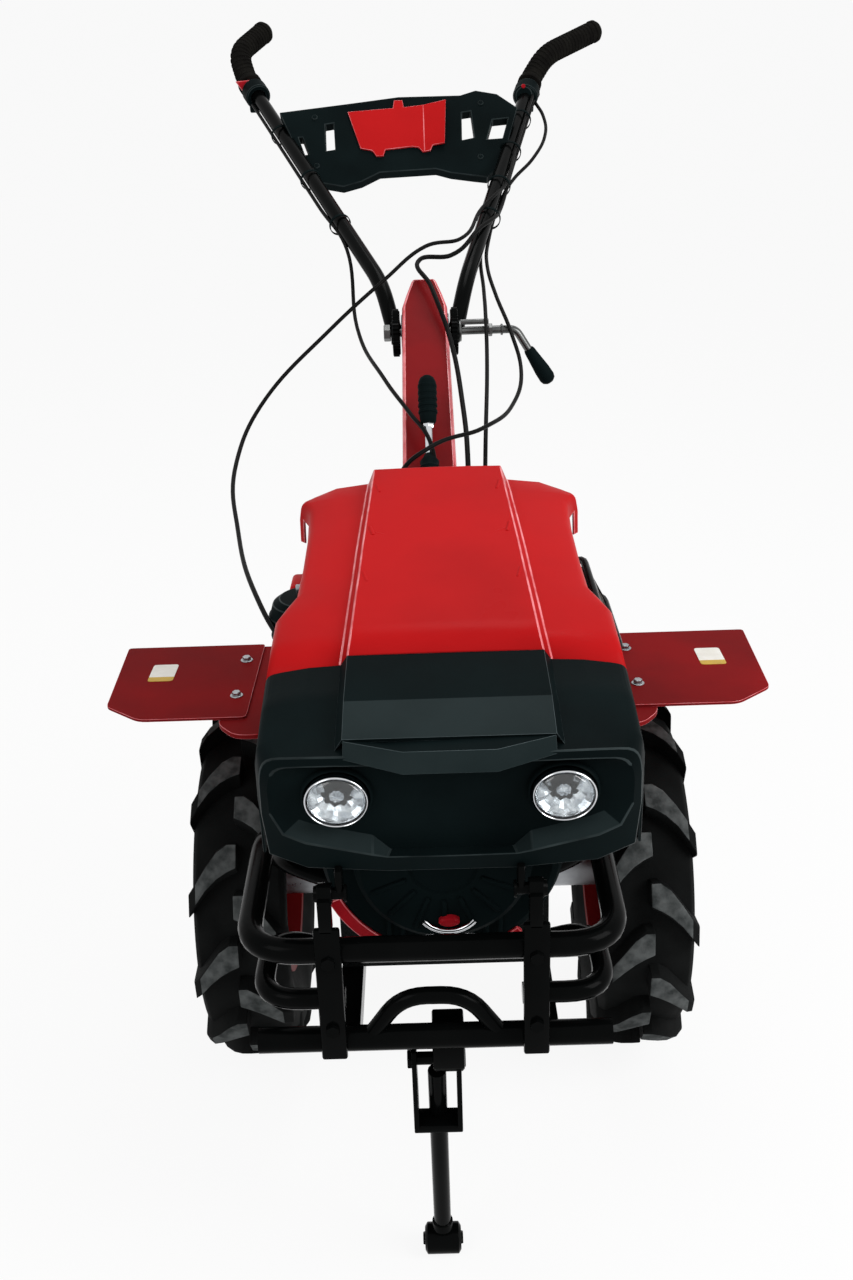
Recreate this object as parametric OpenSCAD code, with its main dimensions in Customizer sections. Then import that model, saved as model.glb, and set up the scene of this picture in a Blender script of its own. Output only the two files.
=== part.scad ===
// Two-wheel walking power weeder: engine at the front under a tilting bonnet,
// gearbox and driven wheels behind it, column and tilting handlebar at the rear.
// Millimetres, +Z up, front towards -Y, origin on the ground under the middle of the machine.
// Left and right are the operator's, who stands behind and looks forwards: +X is left.
// Every "reach" is measured forwards, and every "back" rearwards, from the wheel axle.

/* [Wheels] */
// Diameter of the tyres over the lug tips
tyre_d = 412; // [380:4:460]
// Width of a tyre at the tread
tyre_w = 106; // [90:2:120]
// Distance between the middles of the two tyres
track = 440; // [420:5:500]
// Diameter of the rim at the tyre bead
rim_d = 208; // [190:2:230]
// Diameter of the wheel shaft
shaft_d = 28; // [20:1:32]

/* [Engine and gearbox] */
// Height of the crankshaft above the ground
crank_z = 478; // [460:2:500]
// Height of the top of the engine frame
frame_z = 330; // [320:2:340]
// Length of the crankcase
case_l = 250; // [220:5:260]
// Width of the crankcase
case_w = 190; // [170:2:200]
// Diameter of the cooling fan housing
fan_d = 212; // [190:2:220]
// Width of the gearbox
gear_w = 116; // [100:2:130]

/* [Bumper] */
// Height of the middle of the top bar
bar_z = 418; // [410:1:424]
// Width between the middles of the two side arms
bar_w = 312; // [306:2:320]
// Diameter of the bumper tube
tube_d = 22; // [18:1:24]
// Height of the middle of the lower side loops
loop_z = 369; // [362:1:374]
// Height of the middle of the bottom bar
low_z = 326; // [320:1:330]
// Distance between the middles of the two upright plates
plate_gap = 172; // [160:2:180]
// Width of each upright plate
plate_w = 22; // [18:1:26]
// Distance of the guard and stand to the right of the middle of the machine
guard_shift = 11; // [0:1:14]

/* [Stand] */
// Height of the pivot of the stand
stand_z = 281; // [270:1:284]
// Distance from the pivot rearwards to the foot
stand_lean = 44; // [20:2:60]
// Width of the leg of the stand
leg_w = 17; // [14:1:20]

/* [Bonnet] */
// Width of the bonnet at its front
bonnet_w = 318; // [310:2:330]
// Distance from the axle forwards to the front of the bonnet
bonnet_reach = 446; // [440:1:450]
// Distance from the axle rearwards to the rear edge of the bonnet
bonnet_back = 52; // [40:2:60]
// Height of the lower edge of the bonnet
bonnet_z = 492; // [488:1:500]
// Height of the rear edge of the bonnet roof beside the spine
bonnet_top = 678; // [670:1:690]
// Wall of the bonnet
bonnet_wall = 4; // [3:0.5:5]
// Height of the raised spine above the roof
spine_h = 11; // [4:1:14]
// Diameter of a headlamp
lamp_d = 50; // [44:1:54]
// Distance between the two headlamps
lamp_gap = 180; // [170:2:200]
// Distance of the bonnet to the left of the middle of the machine
bonnet_shift = 8; // [0:1:12]

/* [Fenders] */
// Width over both fenders
fender_span = 714; // [700:2:760]
// Length of a fender along the machine
fender_l = 188; // [160:2:200]
// Height of the fenders
fender_z = 482; // [476:1:486]
// Thickness of the fender sheet
sheet_t = 3; // [2:0.5:4]

/* [Column and handlebar] */
// Distance from the axle rearwards to the handlebar pivot
pivot_back = 415; // [405:1:425]
// Height of the handlebar pivot
pivot_z = 775; // [765:1:785]
// Width of the column at its foot
column_w = 66; // [60:1:72]
// Diameter of the handlebar tubes
bar_d = 25; // [22:1:28]
// Width between the handlebar tubes at the grips
grip_w = 456; // [430:2:480]
// Height of the lower end of the grips
grip_z = 1078; // [1060:2:1090]
// Diameter of the grips
grip_d = 34; // [30:1:38]
// Distance that the grips stand to the right of the middle of the machine
grip_swing = 45; // [0:5:50]
// Diameter of the clamp discs
disc_d = 62; // [54:1:68]

/* [Hidden] */
$fn = 48;

slack = 0.3;                                      // running clearance of a pin or shaft
plate_t = 6;                                      // thickness of the guard plates
front_wall = 24;                                  // depth of the bonnet's nose
fan_t = 48;                                       // depth of the fan housing
starter_t = 14;                                   // depth of the starter on it
nose_gap = 15;                                    // between the starter and the bonnet's nose
case_reach = bonnet_reach - front_wall - nose_gap - starter_t - fan_t;
bar_reach = bonnet_reach - 8;                     // middle of the front bars, under the bonnet's edge
stand_reach = bar_reach - 24;                     // pivot of the stand, behind the bars
front_reach = bar_reach + tube_d / 2 + plate_t;
// the grips bend differently: from the lower end to the bend, and from there to the tip
LEFT_GRIP = [[29, 35, 43], [87, 53, 35]];
RIGHT_GRIP = [[-20, 35, 48], [40, 53, 33]];
grip_back = 985;
rear_back = grip_back + LEFT_GRIP[0][1] + LEFT_GRIP[1][1] + 14;
axle_y = (front_reach - rear_back) / 2;
axle_z = tyre_d / 2;
case_front = axle_y - case_reach;
case_rear = case_front + case_l;
bar_y = axle_y - bar_reach;
pivot_y = axle_y + pivot_back;
stand_y = axle_y - stand_reach;
column_rise = 0.63;                               // slope of the column
column_h = 104;                                   // upright depth of the column
column_foot = 92;                                 // foot of the column behind the axle
column_top_z = pivot_z + 64;                      // top face of the column above the pivot
fender_in = track / 2 - 22;                       // inner edge of the fender sheet
fender_back = 57;
bracket_w = 26;
hinge_z = bonnet_z - 15;
hinge_y = bar_y - 4;
hinge_d = 10;
split_reach = 312;                                // joint between the red shell and the black front
split_z = bonnet_top - 52;                        // roof of the bonnet at that joint
panel_back = 800;
panel_z = 985;

function unit(v) = v / norm(v);

// round bar from a to b
module rod(a, b, d) {
    v = b - a;
    translate(a)
        rotate([0, acos(v[2] / norm(v)), atan2(v[1], v[0])])
            cylinder(d = d, h = norm(v));
}

// points of an arc of radius r that rounds the corner c between a and b
function corner(a, c, b, r, steps) =
    let (
        u = unit(a - c),
        w = unit(b - c),
        half = acos(u * w) / 2,
        mid = c + unit(u + w) * r / sin(half),
        first = c + u * r / tan(half) - mid,
        z = unit(cross(first, c + w * r / tan(half) - mid))
    )
    [for (k = [0 : steps])
        let (turn = (180 - 2 * half) * k / steps)
            mid + first * cos(turn) + cross(z, first) * sin(turn)];

// route with every inner corner rounded
function rounded(pts, r, steps) = [
    pts[0],
    for (i = [1 : len(pts) - 2])
        each corner(pts[i - 1], pts[i], pts[i + 1], r, steps),
    pts[len(pts) - 1]
];

function headings(route) = [
    for (i = [0 : len(route) - 1])
        unit(route[min(i + 1, len(route) - 1)] - route[max(i - 1, 0)])
];

// any direction square to v
function square_to(v) = unit(abs(v[2]) < 0.9 ? cross(v, [0, 0, 1]) : cross(v, [1, 0, 0]));

// one direction per heading, square to it and carried along without twisting
function carried(head) = [
    for (i = 0, n = square_to(head[0]);
         i < len(head);
         i = i + 1, n = i < len(head) ? unit(n - (n * head[i]) * head[i]) : n)
        n
];

// round tube along pts, its inner corners bent to radius r
module bent_tube(pts, d, r, sides = 12, steps = 4) {
    route = rounded(pts, r, steps);
    head = headings(route);
    normal = carried(head);
    rings = len(route);
    polyhedron(
        points = [
            for (i = [0 : rings - 1], k = [0 : sides - 1])
                route[i] + d / 2 * (normal[i] * cos(360 * k / sides)
                    + cross(head[i], normal[i]) * sin(360 * k / sides))
        ],
        faces = [
            [for (k = [0 : sides - 1]) k],
            for (i = [0 : rings - 2], k = [0 : sides - 1])
                [
                    (i + 1) * sides + k,
                    (i + 1) * sides + (k + 1) % sides,
                    i * sides + (k + 1) % sides,
                    i * sides + k
                ],
            [for (k = [sides - 1 : -1 : 0]) (rings - 1) * sides + k]
        ]
    );
}

// side profile given as [y, z] points, w wide across the machine
module across(w) {
    rotate([90, 0, 90])
        linear_extrude(height = w, center = true)
            children();
}

// cylinder across the machine
module cross_pin(y, z, d, x0, x1) {
    translate([x0, y, z])
        rotate([0, 90, 0])
            cylinder(d = d, h = x1 - x0);
}

// cylinder along the machine
module long_pin(x, z, d, y0, y1) {
    translate([x, y0, z])
        rotate([-90, 0, 0])
            cylinder(d = d, h = y1 - y0);
}

// box from its two corners
module block(a, b) {
    translate(a)
        cube(b - a);
}

// a side of 1 is the left of the operator, and -1 mirrors it to the right
module on_side(side) {
    if (side < 0)
        mirror([1, 0, 0])
            children();
    else
        children();
}

// ---- engine -----------------------------------------------------------------

fin_t = 4;                                        // thickness of a cooling fin
fin_gap = 11.6;                                   // from one fin to the next
module engine_block() {
    color("dimgray")
        union() {
            block([-case_w / 2, case_front, frame_z], [case_w / 2, case_rear, crank_z + 50]);
            block([-case_w / 2 - 3, case_front + 18, crank_z + 50],
                  [case_w / 2 + 3, case_rear - 18, crank_z + 116]);
            for (rise = [54 : fin_gap : 112])
                block([-case_w / 2 - 12, case_front + 10, crank_z + rise],
                      [case_w / 2 + 12, case_rear - 10, crank_z + rise + fin_t]);
        }
}

module fan_housing() {
    color([0.07, 0.08, 0.08])
        difference() {
            long_pin(0, crank_z, fan_d, case_front - fan_t, case_front);
            // air slots below the starter
            for (x = [-40 : 10 : 40])
                block([x - 2, case_front - fan_t - 1, crank_z - fan_d / 2 + 12],
                      [x + 2, case_front - fan_t + 5, crank_z - fan_d / 2 + 28]);
        }
}

module starter_cover() {
    color([0.07, 0.08, 0.08])
        long_pin(0, crank_z, fan_d - 62, case_front - fan_t - starter_t, case_front - fan_t);
}

rail_w = 24;
rail_h = 26;
module frame_rails() {
    for (side = [-1, 1])
        on_side(side)
            block([plate_gap / 2 - rail_w / 2, bar_y + tube_d / 2 + 1, frame_z - rail_h],
                  [plate_gap / 2 + rail_w / 2, case_rear + 8, frame_z]);
    for (y = [case_front + 30, case_rear - 40])
        block([-plate_gap / 2, y, frame_z - rail_h + 6], [plate_gap / 2, y + 30, frame_z]);
}

// room that the crankcase takes above the rails
module crankcase_room() {
    block([-case_w / 2 - slack, case_front - slack, frame_z - slack],
          [case_w / 2 + slack, case_rear + slack, crank_z]);
}

module engine_frame() {
    color([0.6, 0.08, 0.09])
        union()
            frame_rails();
}

cleaner_x = -case_w / 2 - 12;
module air_cleaner() {
    color([0.06, 0.06, 0.06])
        difference() {
            translate([cleaner_x - 18, axle_y - 118, crank_z + 62])
                cylinder(d = 80, h = 72);
            block([cleaner_x, case_front, frame_z], [0, case_rear - 10, crank_z + 116]);
        }
}

module muffler() {
    color([0.25, 0.25, 0.26])
        union() {
            long_pin(case_w / 2 + 12 + 34, crank_z + 98, 66, axle_y - 158, axle_y - 34);
            long_pin(case_w / 2 + 12 + 34, crank_z + 98, 20, axle_y - 34, axle_y - 10);
            block([case_w / 2 + 12, axle_y - 150, crank_z + 84],
                  [case_w / 2 + 12 + 20, axle_y - 120, crank_z + 112]);
        }
}

// ---- gearbox ----------------------------------------------------------------

house_x = 118;                                    // outer end of the axle housing
module gearbox() {
    color([0.16, 0.16, 0.17])
        difference() {
            union() {
                across(gear_w)
                    polygon([
                        [case_rear, frame_z],
                        [case_rear, crank_z + 46],
                        [axle_y + 70, crank_z + 46],
                        [axle_y + 118, crank_z + 20],
                        [axle_y + 118, frame_z + 10],
                        [axle_y + 74, axle_z + 20],
                        [axle_y + 60, axle_z - 40],
                        [axle_y - 60, axle_z - 40],
                        [axle_y - 74, axle_z + 20],
                        [axle_y - 60, frame_z]
                    ]);
                cross_pin(axle_y, axle_z, 148, -gear_w / 2, gear_w / 2);
                // saddle that carries the column
                block([-column_w / 2 - 8, axle_y + 60, crank_z + 46],
                      [column_w / 2 + 8, axle_y + 118, crank_z + 76]);
            }
            cross_pin(axle_y, axle_z, 74, -gear_w / 2 - 1, gear_w / 2 + 1);
        }
}

module axle_housing() {
    color([0.16, 0.16, 0.17])
        difference() {
            union() {
                cross_pin(axle_y, axle_z, 74, -house_x, house_x);
                for (side = [-1, 1])
                    on_side(side)
                        cross_pin(axle_y, axle_z, 104, gear_w / 2, gear_w / 2 + 12);
            }
            for (side = [-1, 1])
                on_side(side)
                    cross_pin(axle_y, axle_z, shaft_d + 2 * slack, house_x - 60, house_x + 1);
        }
}

hitch_bore = 16;
module rear_hitch() {
    color([0.12, 0.12, 0.12])
        difference() {
            block([-32, axle_y + 118, frame_z + 14], [32, axle_y + 190, frame_z + 84]);
            block([-20, axle_y + 132, frame_z + 30], [20, axle_y + 191, frame_z + 68]);
            translate([0, axle_y + 164, frame_z])
                cylinder(d = hitch_bore, h = 100);
        }
}

// ---- wheels -----------------------------------------------------------------

// places a wheel piece, turned from its own axis to the axle
module wheel_spin(side) {
    translate([side * track / 2, axle_y, axle_z])
        rotate([0, side * 90, 0])
            children();
}

rim_w = 72;
lug_count = 12;                                   // on each half of the tread
lug_h = 21;                                       // height of the lugs over the carcass
// outline of one lug: across from the middle of the tread, and along the tread
LUG = [[-3, -28], [16, -25], [34, -14], [tyre_w / 2, 2], [tyre_w / 2, 28], [36, 12], [20, -4], [-3, -11]];

// half: 1 for the outer half of the tread, -1 for the inner half; forward: turning sense of the wheel
module tread(half, forward) {
    for (k = [0 : lug_count - 1])
        rotate([0, 0, (k + (half > 0 ? 0 : 0.5)) * 360 / lug_count])
            translate([tyre_d / 2 - 52, 0, 0])
                rotate([90, 0, 90])
                    linear_extrude(height = 50)
                        polygon([for (p = LUG) [forward * p[1], half * p[0]]]);
}

module tyre(side) {
    r = tyre_d / 2 - lug_h;
    color([0.06, 0.06, 0.06])
        wheel_spin(side)
            union() {
                rotate_extrude($fn = 64)
                    polygon([
                        [rim_d / 2, -rim_w / 2],
                        [rim_d / 2 + 16, -rim_w / 2],
                        [rim_d / 2 + 40, -tyre_w / 2 + 3],
                        [r - 22, -tyre_w / 2 + 4],
                        [r - 4, -tyre_w / 2 + 18],
                        [r, 0],
                        [r - 4, tyre_w / 2 - 18],
                        [r - 22, tyre_w / 2 - 4],
                        [rim_d / 2 + 40, tyre_w / 2 - 3],
                        [rim_d / 2 + 16, rim_w / 2],
                        [rim_d / 2, rim_w / 2]
                    ]);
                tread(1, side);
                tread(-1, side);
            }
}

disc_bore = 70;
module rim(side) {
    color([0.75, 0.12, 0.12])
        wheel_spin(side)
            rotate_extrude($fn = 64)
                polygon([
                    [rim_d / 2, -rim_w / 2],
                    [rim_d / 2 + 10, -rim_w / 2],
                    [rim_d / 2 + 10, -rim_w / 2 - 4],
                    [rim_d / 2 - 5, -rim_w / 2 - 4],
                    [rim_d / 2 - 5, 0],
                    [disc_bore / 2 + slack / 3, -12],
                    [disc_bore / 2 + slack / 3, -6],
                    [rim_d / 2 - 5, 6],
                    [rim_d / 2 - 5, rim_w / 2 + 4],
                    [rim_d / 2 + 10, rim_w / 2 + 4],
                    [rim_d / 2 + 10, rim_w / 2],
                    [rim_d / 2, rim_w / 2]
                ]);
}

module hub(side) {
    color([0.1, 0.1, 0.1])
        on_side(side)
            union() {
                cross_pin(axle_y, axle_z, disc_bore, track / 2 - 22, track / 2 + 2);
                cross_pin(axle_y, axle_z, 110, track / 2 - 24, track / 2 - 18);
                cross_pin(axle_y, axle_z, 46, house_x + 6, track / 2 + 22);
                cross_pin(axle_y, axle_z, shaft_d, house_x - 56, track / 2 + 34);
            }
}

// ---- bumper -----------------------------------------------------------------

arm_back = 190;                                   // rear ends of the arms before the axle
// the guard stands a little to the right
module in_guard() {
    translate([-guard_shift, 0, 0])
        children();
}

module bumper_top() {
    color([0.05, 0.05, 0.05])
        difference() {
            in_guard()
                bent_tube([
                    [guard_shift - plate_gap / 2, axle_y - arm_back, frame_z - rail_h / 2],
                    [-bar_w / 2 - 5, axle_y - arm_back, frame_z + 20],
                    [-bar_w / 2 - 5, axle_y - arm_back - 50, bar_z - 4],
                    [-bar_w / 2, bar_y, bar_z],
                    [bar_w / 2, bar_y, bar_z],
                    [bar_w / 2 + 5, axle_y - arm_back - 50, bar_z - 4],
                    [bar_w / 2 + 5, axle_y - arm_back, frame_z + 20],
                    [guard_shift + plate_gap / 2, axle_y - arm_back, frame_z - rail_h / 2]
                ], tube_d, 42);
            frame_rails();
            crankcase_room();
        }
}

loop_d = tube_d - 4;
loop_y = bar_y - tube_d / 2 + loop_d / 2;
module bumper_loops() {
    color([0.05, 0.05, 0.05])
        difference() {
            for (side = [-1, 1])
                in_guard()
                    on_side(side)
                        bent_tube([
                            [plate_gap / 2 - plate_w / 2, loop_y, loop_z],
                            [bar_w / 2 - 9, loop_y, loop_z],
                            [bar_w / 2 - 9, loop_y + 90, loop_z - 4],
                            [plate_gap / 2 + side * guard_shift, loop_y + 136, frame_z - rail_h / 2]
                        ], loop_d, 34);
            frame_rails();
            crankcase_room();
        }
}

ear_t = 12;                                       // thickness of a bonnet hinge ear
module bumper_plates() {
    back = bar_y - tube_d / 2;
    color([0.05, 0.05, 0.05])
        in_guard()
            for (side = [-1, 1])
                on_side(side)
                    difference() {
                        union() {
                            block([plate_gap / 2 - plate_w / 2, back - plate_t, low_z - 14],
                                  [plate_gap / 2 + plate_w / 2, back, bar_z + 14]);
                            block([plate_gap / 2 - ear_t / 2, back - plate_t, bar_z + 14],
                                  [plate_gap / 2 + ear_t / 2, hinge_y, hinge_z]);
                            cross_pin(hinge_y, hinge_z, 18,
                                      plate_gap / 2 - ear_t / 2, plate_gap / 2 + ear_t / 2);
                        }
                        cross_pin(hinge_y, hinge_z, hinge_d + 2 * slack, 0, plate_gap);
                        long_pin(plate_gap / 2, (low_z + loop_z) / 2, 9, bar_y - 40, bar_y);
                    }
}

lug_w = 28;
stand_pin = 12;
module bumper_bottom() {
    color([0.05, 0.05, 0.05])
        in_guard()
            difference() {
                union() {
                    cross_pin(bar_y, low_z, tube_d, -bar_w / 2 + 4, bar_w / 2 - 4);
                    // lug that carries the stand
                    block([-lug_w / 2, bar_y, stand_z], [lug_w / 2, stand_y + 12, low_z]);
                    cross_pin(stand_y, stand_z, 24, -lug_w / 2, lug_w / 2);
                }
                cross_pin(stand_y, stand_z, stand_pin + 2 * slack, -lug_w, lug_w);
            }
}

module tow_arch() {
    color([0.05, 0.05, 0.05])
        in_guard()
            difference() {
                bent_tube([[-56, bar_y, low_z], [-28, bar_y, loop_z], [28, bar_y, loop_z], [56, bar_y, low_z]],
                          15, 20);
                cross_pin(bar_y, low_z, tube_d, -100, 100);
            }
}

// ---- fenders ----------------------------------------------------------------

module fender(side) {
    color([0.6, 0.1, 0.1])
        on_side(side)
            translate([0, 0, fender_z])
                linear_extrude(height = sheet_t)
                    polygon([
                        [fender_in, axle_y + fender_back],
                        [fender_span / 2, axle_y + fender_back],
                        [fender_span / 2, axle_y + fender_back - fender_l + 36],
                        [fender_span / 2 - 34, axle_y + fender_back - fender_l],
                        [fender_in, axle_y + fender_back - fender_l]
                    ]);
}

module fender_bracket(side) {
    color([0.5, 0.08, 0.08])
        on_side(side)
            union() {
                block([fender_in - 20, axle_y + fender_back - fender_l - 34, fender_z - 5],
                      [fender_in + bracket_w, axle_y + fender_back, fender_z]);
                block([case_w / 2, case_rear - 34, fender_z - 12],
                      [fender_in + bracket_w, case_rear - 4, fender_z - 5]);
            }
}

// ---- column -----------------------------------------------------------------

column_end = pivot_back + 46;
column_bore = 14;
function column_face(back) = column_top_z - (column_end - back) * column_rise;
module column() {
    color([0.65, 0.08, 0.09])
        difference() {
            intersection() {
                across(column_w)
                    polygon([
                        [axle_y + column_foot - 30, crank_z + 76],
                        [axle_y + column_foot - 30, column_face(column_foot - 30)],
                        [axle_y + column_end, column_top_z],
                        [axle_y + column_end, column_top_z - 50],
                        [axle_y + pivot_back + 20, column_top_z - column_h],
                        [axle_y + column_foot + 26, crank_z + 76]
                    ]);
                translate([0, 0, crank_z])
                    linear_extrude(height = 500)
                        polygon([
                            [-column_w / 2, axle_y],
                            [column_w / 2, axle_y],
                            [column_w / 2 - 3, pivot_y],
                            [16, axle_y + column_end],
                            [-16, axle_y + column_end],
                            [-column_w / 2 + 3, pivot_y]
                        ]);
            }
            across(column_w - 14)
                polygon([
                    [axle_y + column_foot, column_face(column_foot) - column_h + 34],
                    [axle_y + column_foot, column_face(column_foot) - 8],
                    [pivot_y - 24, column_face(pivot_back - 24) - 8],
                    [pivot_y - 24, column_face(pivot_back - 24) - column_h + 34]
                ]);
            cross_pin(pivot_y, pivot_z, column_bore + 2 * slack, -60, 60);
        }
}

module gear_lever() {
    foot = [0, axle_y + 132, column_face(132) + 17.8];
    knee = [0, axle_y + 200, 700];
    top = [0, axle_y + 232, 752];
    color([0.05, 0.05, 0.05])
        union() {
            translate(foot)
                sphere(d = 30, $fn = 24);
            rod(foot, knee, 10);
            translate(knee)
                sphere(d = 12, $fn = 16);
            rod(knee, top, 22);
        }
}

// ---- stand ------------------------------------------------------------------

foot_d = 30;
module stand_yoke() {
    color([0.05, 0.05, 0.05])
        in_guard()
            union() {
                for (side = [-1, 1])
                    on_side(side)
                        difference() {
                            block([17, stand_y - 13, stand_z - 70], [22, stand_y + 13, stand_z + 12]);
                            // slot between the pivot and the cross bar
                            block([16, stand_y - 6, stand_z - 58], [23, stand_y + 6, stand_z - 16]);
                        }
                cross_pin(stand_y, stand_z, stand_pin, -22, 22);
                block([-22, stand_y - 12, stand_z - 76], [22, stand_y + 12, stand_z - 68]);
            }
}

module stand_leg() {
    color([0.05, 0.05, 0.05])
        in_guard()
            difference() {
                rod([0, stand_y, stand_z - 60], [0, stand_y + stand_lean, foot_d / 2], leg_w);
                block([-30, stand_y - 30, stand_z - 76], [30, stand_y + 30, stand_z]);
                cross_pin(stand_y + stand_lean, foot_d / 2, foot_d, -30, 30);
            }
}

module stand_foot() {
    color([0.05, 0.05, 0.05])
        in_guard()
            cross_pin(stand_y + stand_lean, foot_d / 2, foot_d, -18, 18);
}

// ---- bonnet -----------------------------------------------------------------

nose_y = axle_y - bonnet_reach;
split_y = axle_y - split_reach;
bonnet_rear = axle_y + bonnet_back;
spine_w = 168;                                    // width of the spine at the joint and in front of it
spine_end = 138;                                  // width of the spine at the rear edge
open_front = axle_y - 174;                        // front of the side openings
open_rear = axle_y + 12;
open_top = bonnet_top - 60;                       // lower edge of the shell behind the openings

// outline seen from above; the roof is nipped in over the side openings
module bonnet_plan(inset, nip) {
    h = bonnet_w / 2 - inset;
    polygon([
        [-h + 20, nose_y + inset], [h - 20, nose_y + inset], [h, nose_y + 28],
        [h, open_front - 10], [h - nip, open_front + 12], [h - nip, open_rear - 14], [h - 10, open_rear + 6],
        [h - 14, bonnet_rear], [-h + 14, bonnet_rear],
        [-h + 10, open_rear + 6], [-h + nip, open_rear - 14], [-h + nip, open_front + 12], [-h, open_front - 10],
        [-h, nose_y + 28]
    ]);
}

// cross section of the roof with rounded shoulders, under a roof line at height 0
module roof_section(inset) {
    h = bonnet_w / 2 - inset;
    polygon([
        [-h, -260], [-h, -46], [-h + 3, -26], [-h + 10, -14], [-h + 24, -7 - inset / 2], [-h + 68, -inset],
        [h - 68, -inset], [h - 24, -7 - inset / 2], [h - 10, -14], [h - 3, -26], [h, -46], [h, -260]
    ]);
}

roof_spare = 60;                                  // the slanted ends of a roof piece are cut off square
// room under the roof between two places along the machine, at their own heights
module under_roof(y0, z0, y1, z1, inset) {
    slope = atan((z1 - z0) / (y1 - y0));
    translate([0, y0, z0])
        rotate([slope, 0, 0])
            translate([0, -roof_spare, 0])
                rotate([90, 0, 180])
                    linear_extrude(height = norm([y1 - y0, z1 - z0]) + 2 * roof_spare)
                        roof_section(inset);
}

// outer form without the spine
module bonnet_form(inset) {
    intersection() {
        translate([0, 0, inset > 0 ? bonnet_z - 2 : bonnet_z])
            linear_extrude(height = 400)
                bonnet_plan(inset, inset > 0 ? 18 : 14);
        union() {
            intersection() {
                under_roof(split_y, split_z, bonnet_rear, bonnet_top, inset);
                block([-300, split_y, bonnet_z - 2], [300, bonnet_rear, bonnet_top + 60]);
            }
            intersection() {
                under_roof(nose_y + 19, bonnet_z + 108, split_y, split_z, inset);
                block([-300, nose_y, bonnet_z - 2], [300, split_y, bonnet_top + 60]);
            }
        }
    }
}

module spine_form() {
    intersection() {
        across(bonnet_w)
            polygon([
                [nose_y + 19, bonnet_z + 80],
                [nose_y + 19, bonnet_z + 108 + spine_h],
                [nose_y + 60, bonnet_z + 119 + spine_h],
                [split_y, split_z + spine_h],
                [bonnet_rear, bonnet_top + spine_h],
                [bonnet_rear, bonnet_top - bonnet_wall],
                [split_y, split_z - bonnet_wall]
            ]);
        translate([0, 0, bonnet_z])
            linear_extrude(height = 400)
                polygon([
                    [-spine_w / 2, nose_y], [spine_w / 2, nose_y], [spine_w / 2, split_y],
                    [spine_end / 2, bonnet_rear], [-spine_end / 2, bonnet_rear], [-spine_w / 2, split_y]
                ]);
    }
}

module bonnet_hollow() {
    difference() {
        union() {
            bonnet_form(0);
            spine_form();
        }
        // inside
        intersection() {
            bonnet_form(bonnet_wall);
            block([-300, nose_y + front_wall, 0], [300, bonnet_rear + 10, bonnet_top + 100]);
        }
        block([-bonnet_w / 2, bonnet_rear - 1, 0], [bonnet_w / 2, bonnet_rear + 10, open_top - 3]);
        // side openings, and the open lower rear
        across(bonnet_w + 60)
            polygon([
                [open_front - 60, bonnet_z - 2],
                [open_front - 2, open_top - 2],
                [open_front + 14, open_top + 14],
                [open_rear - 4, open_top + 20],
                [open_rear + 8, open_top],
                [bonnet_rear + 2, open_top + 4],
                [bonnet_rear + 2, bonnet_z - 2]
            ]);
    }
}

// room of the black front, or of the red shell behind it
module bonnet_cut(front) {
    y0 = front ? nose_y - 20 : split_y;
    y1 = front ? split_y : bonnet_rear + 20;
    block([-300, y0, bonnet_z - 60], [300, y1, bonnet_top + 100]);
}

module bonnet_shell() {
    color([0.78, 0.11, 0.12])
        translate([bonnet_shift, 0, 0])
            intersection() {
                bonnet_hollow();
                bonnet_cut(false);
            }
}

lamp_z = bonnet_z + 68;
pocket = 16;                                      // depth of the lamp face behind the lip
brow = 5;                                         // the brow stands this far behind the lip
// the beak under the spine: half width and place at its root and at its tip
beak_root = [84, 20];
beak_tip = [38, 1];
module bonnet_front() {
    color([0.06, 0.08, 0.08])
        union() {
            translate([bonnet_shift, 0, 0])
                difference() {
                    union() {
                        intersection() {
                            bonnet_hollow();
                            bonnet_cut(true);
                        }
                        translate([0, 0, bonnet_z + 98])
                            linear_extrude(height = 14)
                                polygon([
                                    [-beak_root[0], nose_y + beak_root[1]], [-beak_tip[0], nose_y + beak_tip[1]],
                                    [beak_tip[0], nose_y + beak_tip[1]], [beak_root[0], nose_y + beak_root[1]]
                                ]);
                    }
                    // brow over the sunk lamp face
                    block([-200, nose_y - 9, bonnet_z + 96], [-beak_root[0], nose_y + brow, bonnet_z + 130]);
                    block([beak_root[0], nose_y - 9, bonnet_z + 96], [200, nose_y + brow, bonnet_z + 130]);
                    block([-130, nose_y - 20, bonnet_z + 30], [130, nose_y + pocket, bonnet_z + 95]);
                    // slot between the spine and the beak
                    block([-80, nose_y, bonnet_z + 112], [80, nose_y + 36, bonnet_z + 115]);
                }
            in_guard()
                for (side = [-1, 1])
                    on_side(side) {
                        block([plate_gap / 2 - 34, hinge_y, hinge_z],
                              [plate_gap / 2 - ear_t / 2 - 4, hinge_y + 12, bonnet_z + 1]);
                        cross_pin(hinge_y, hinge_z, hinge_d,
                                  plate_gap / 2 - 34, plate_gap / 2 + ear_t / 2);
                    }
        }
}

// a lamp with its rim, sunk mirror and bulb
module headlamp(side) {
    r = lamp_d / 2;
    color([0.9, 0.9, 0.92])
        translate([bonnet_shift + side * lamp_gap / 2, nose_y + pocket, lamp_z])
            rotate([90, 0, 0])
                rotate_extrude()
                    polygon([
                        [0, 0], [r, 0], [r, 10], [r - 1, 12], [r - 3, 11], [r - 5, 7], [r - 14, 2], [6, 2], [5, 8], [0, 9]
                    ]);
}

// ---- handlebar --------------------------------------------------------------

disc_t = 10;
disc_x = column_w / 2 + slack;                    // inner face of the clamp discs
disc_lug = [disc_x + disc_t + 14, pivot_y + 60, pivot_z + 56];

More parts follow.
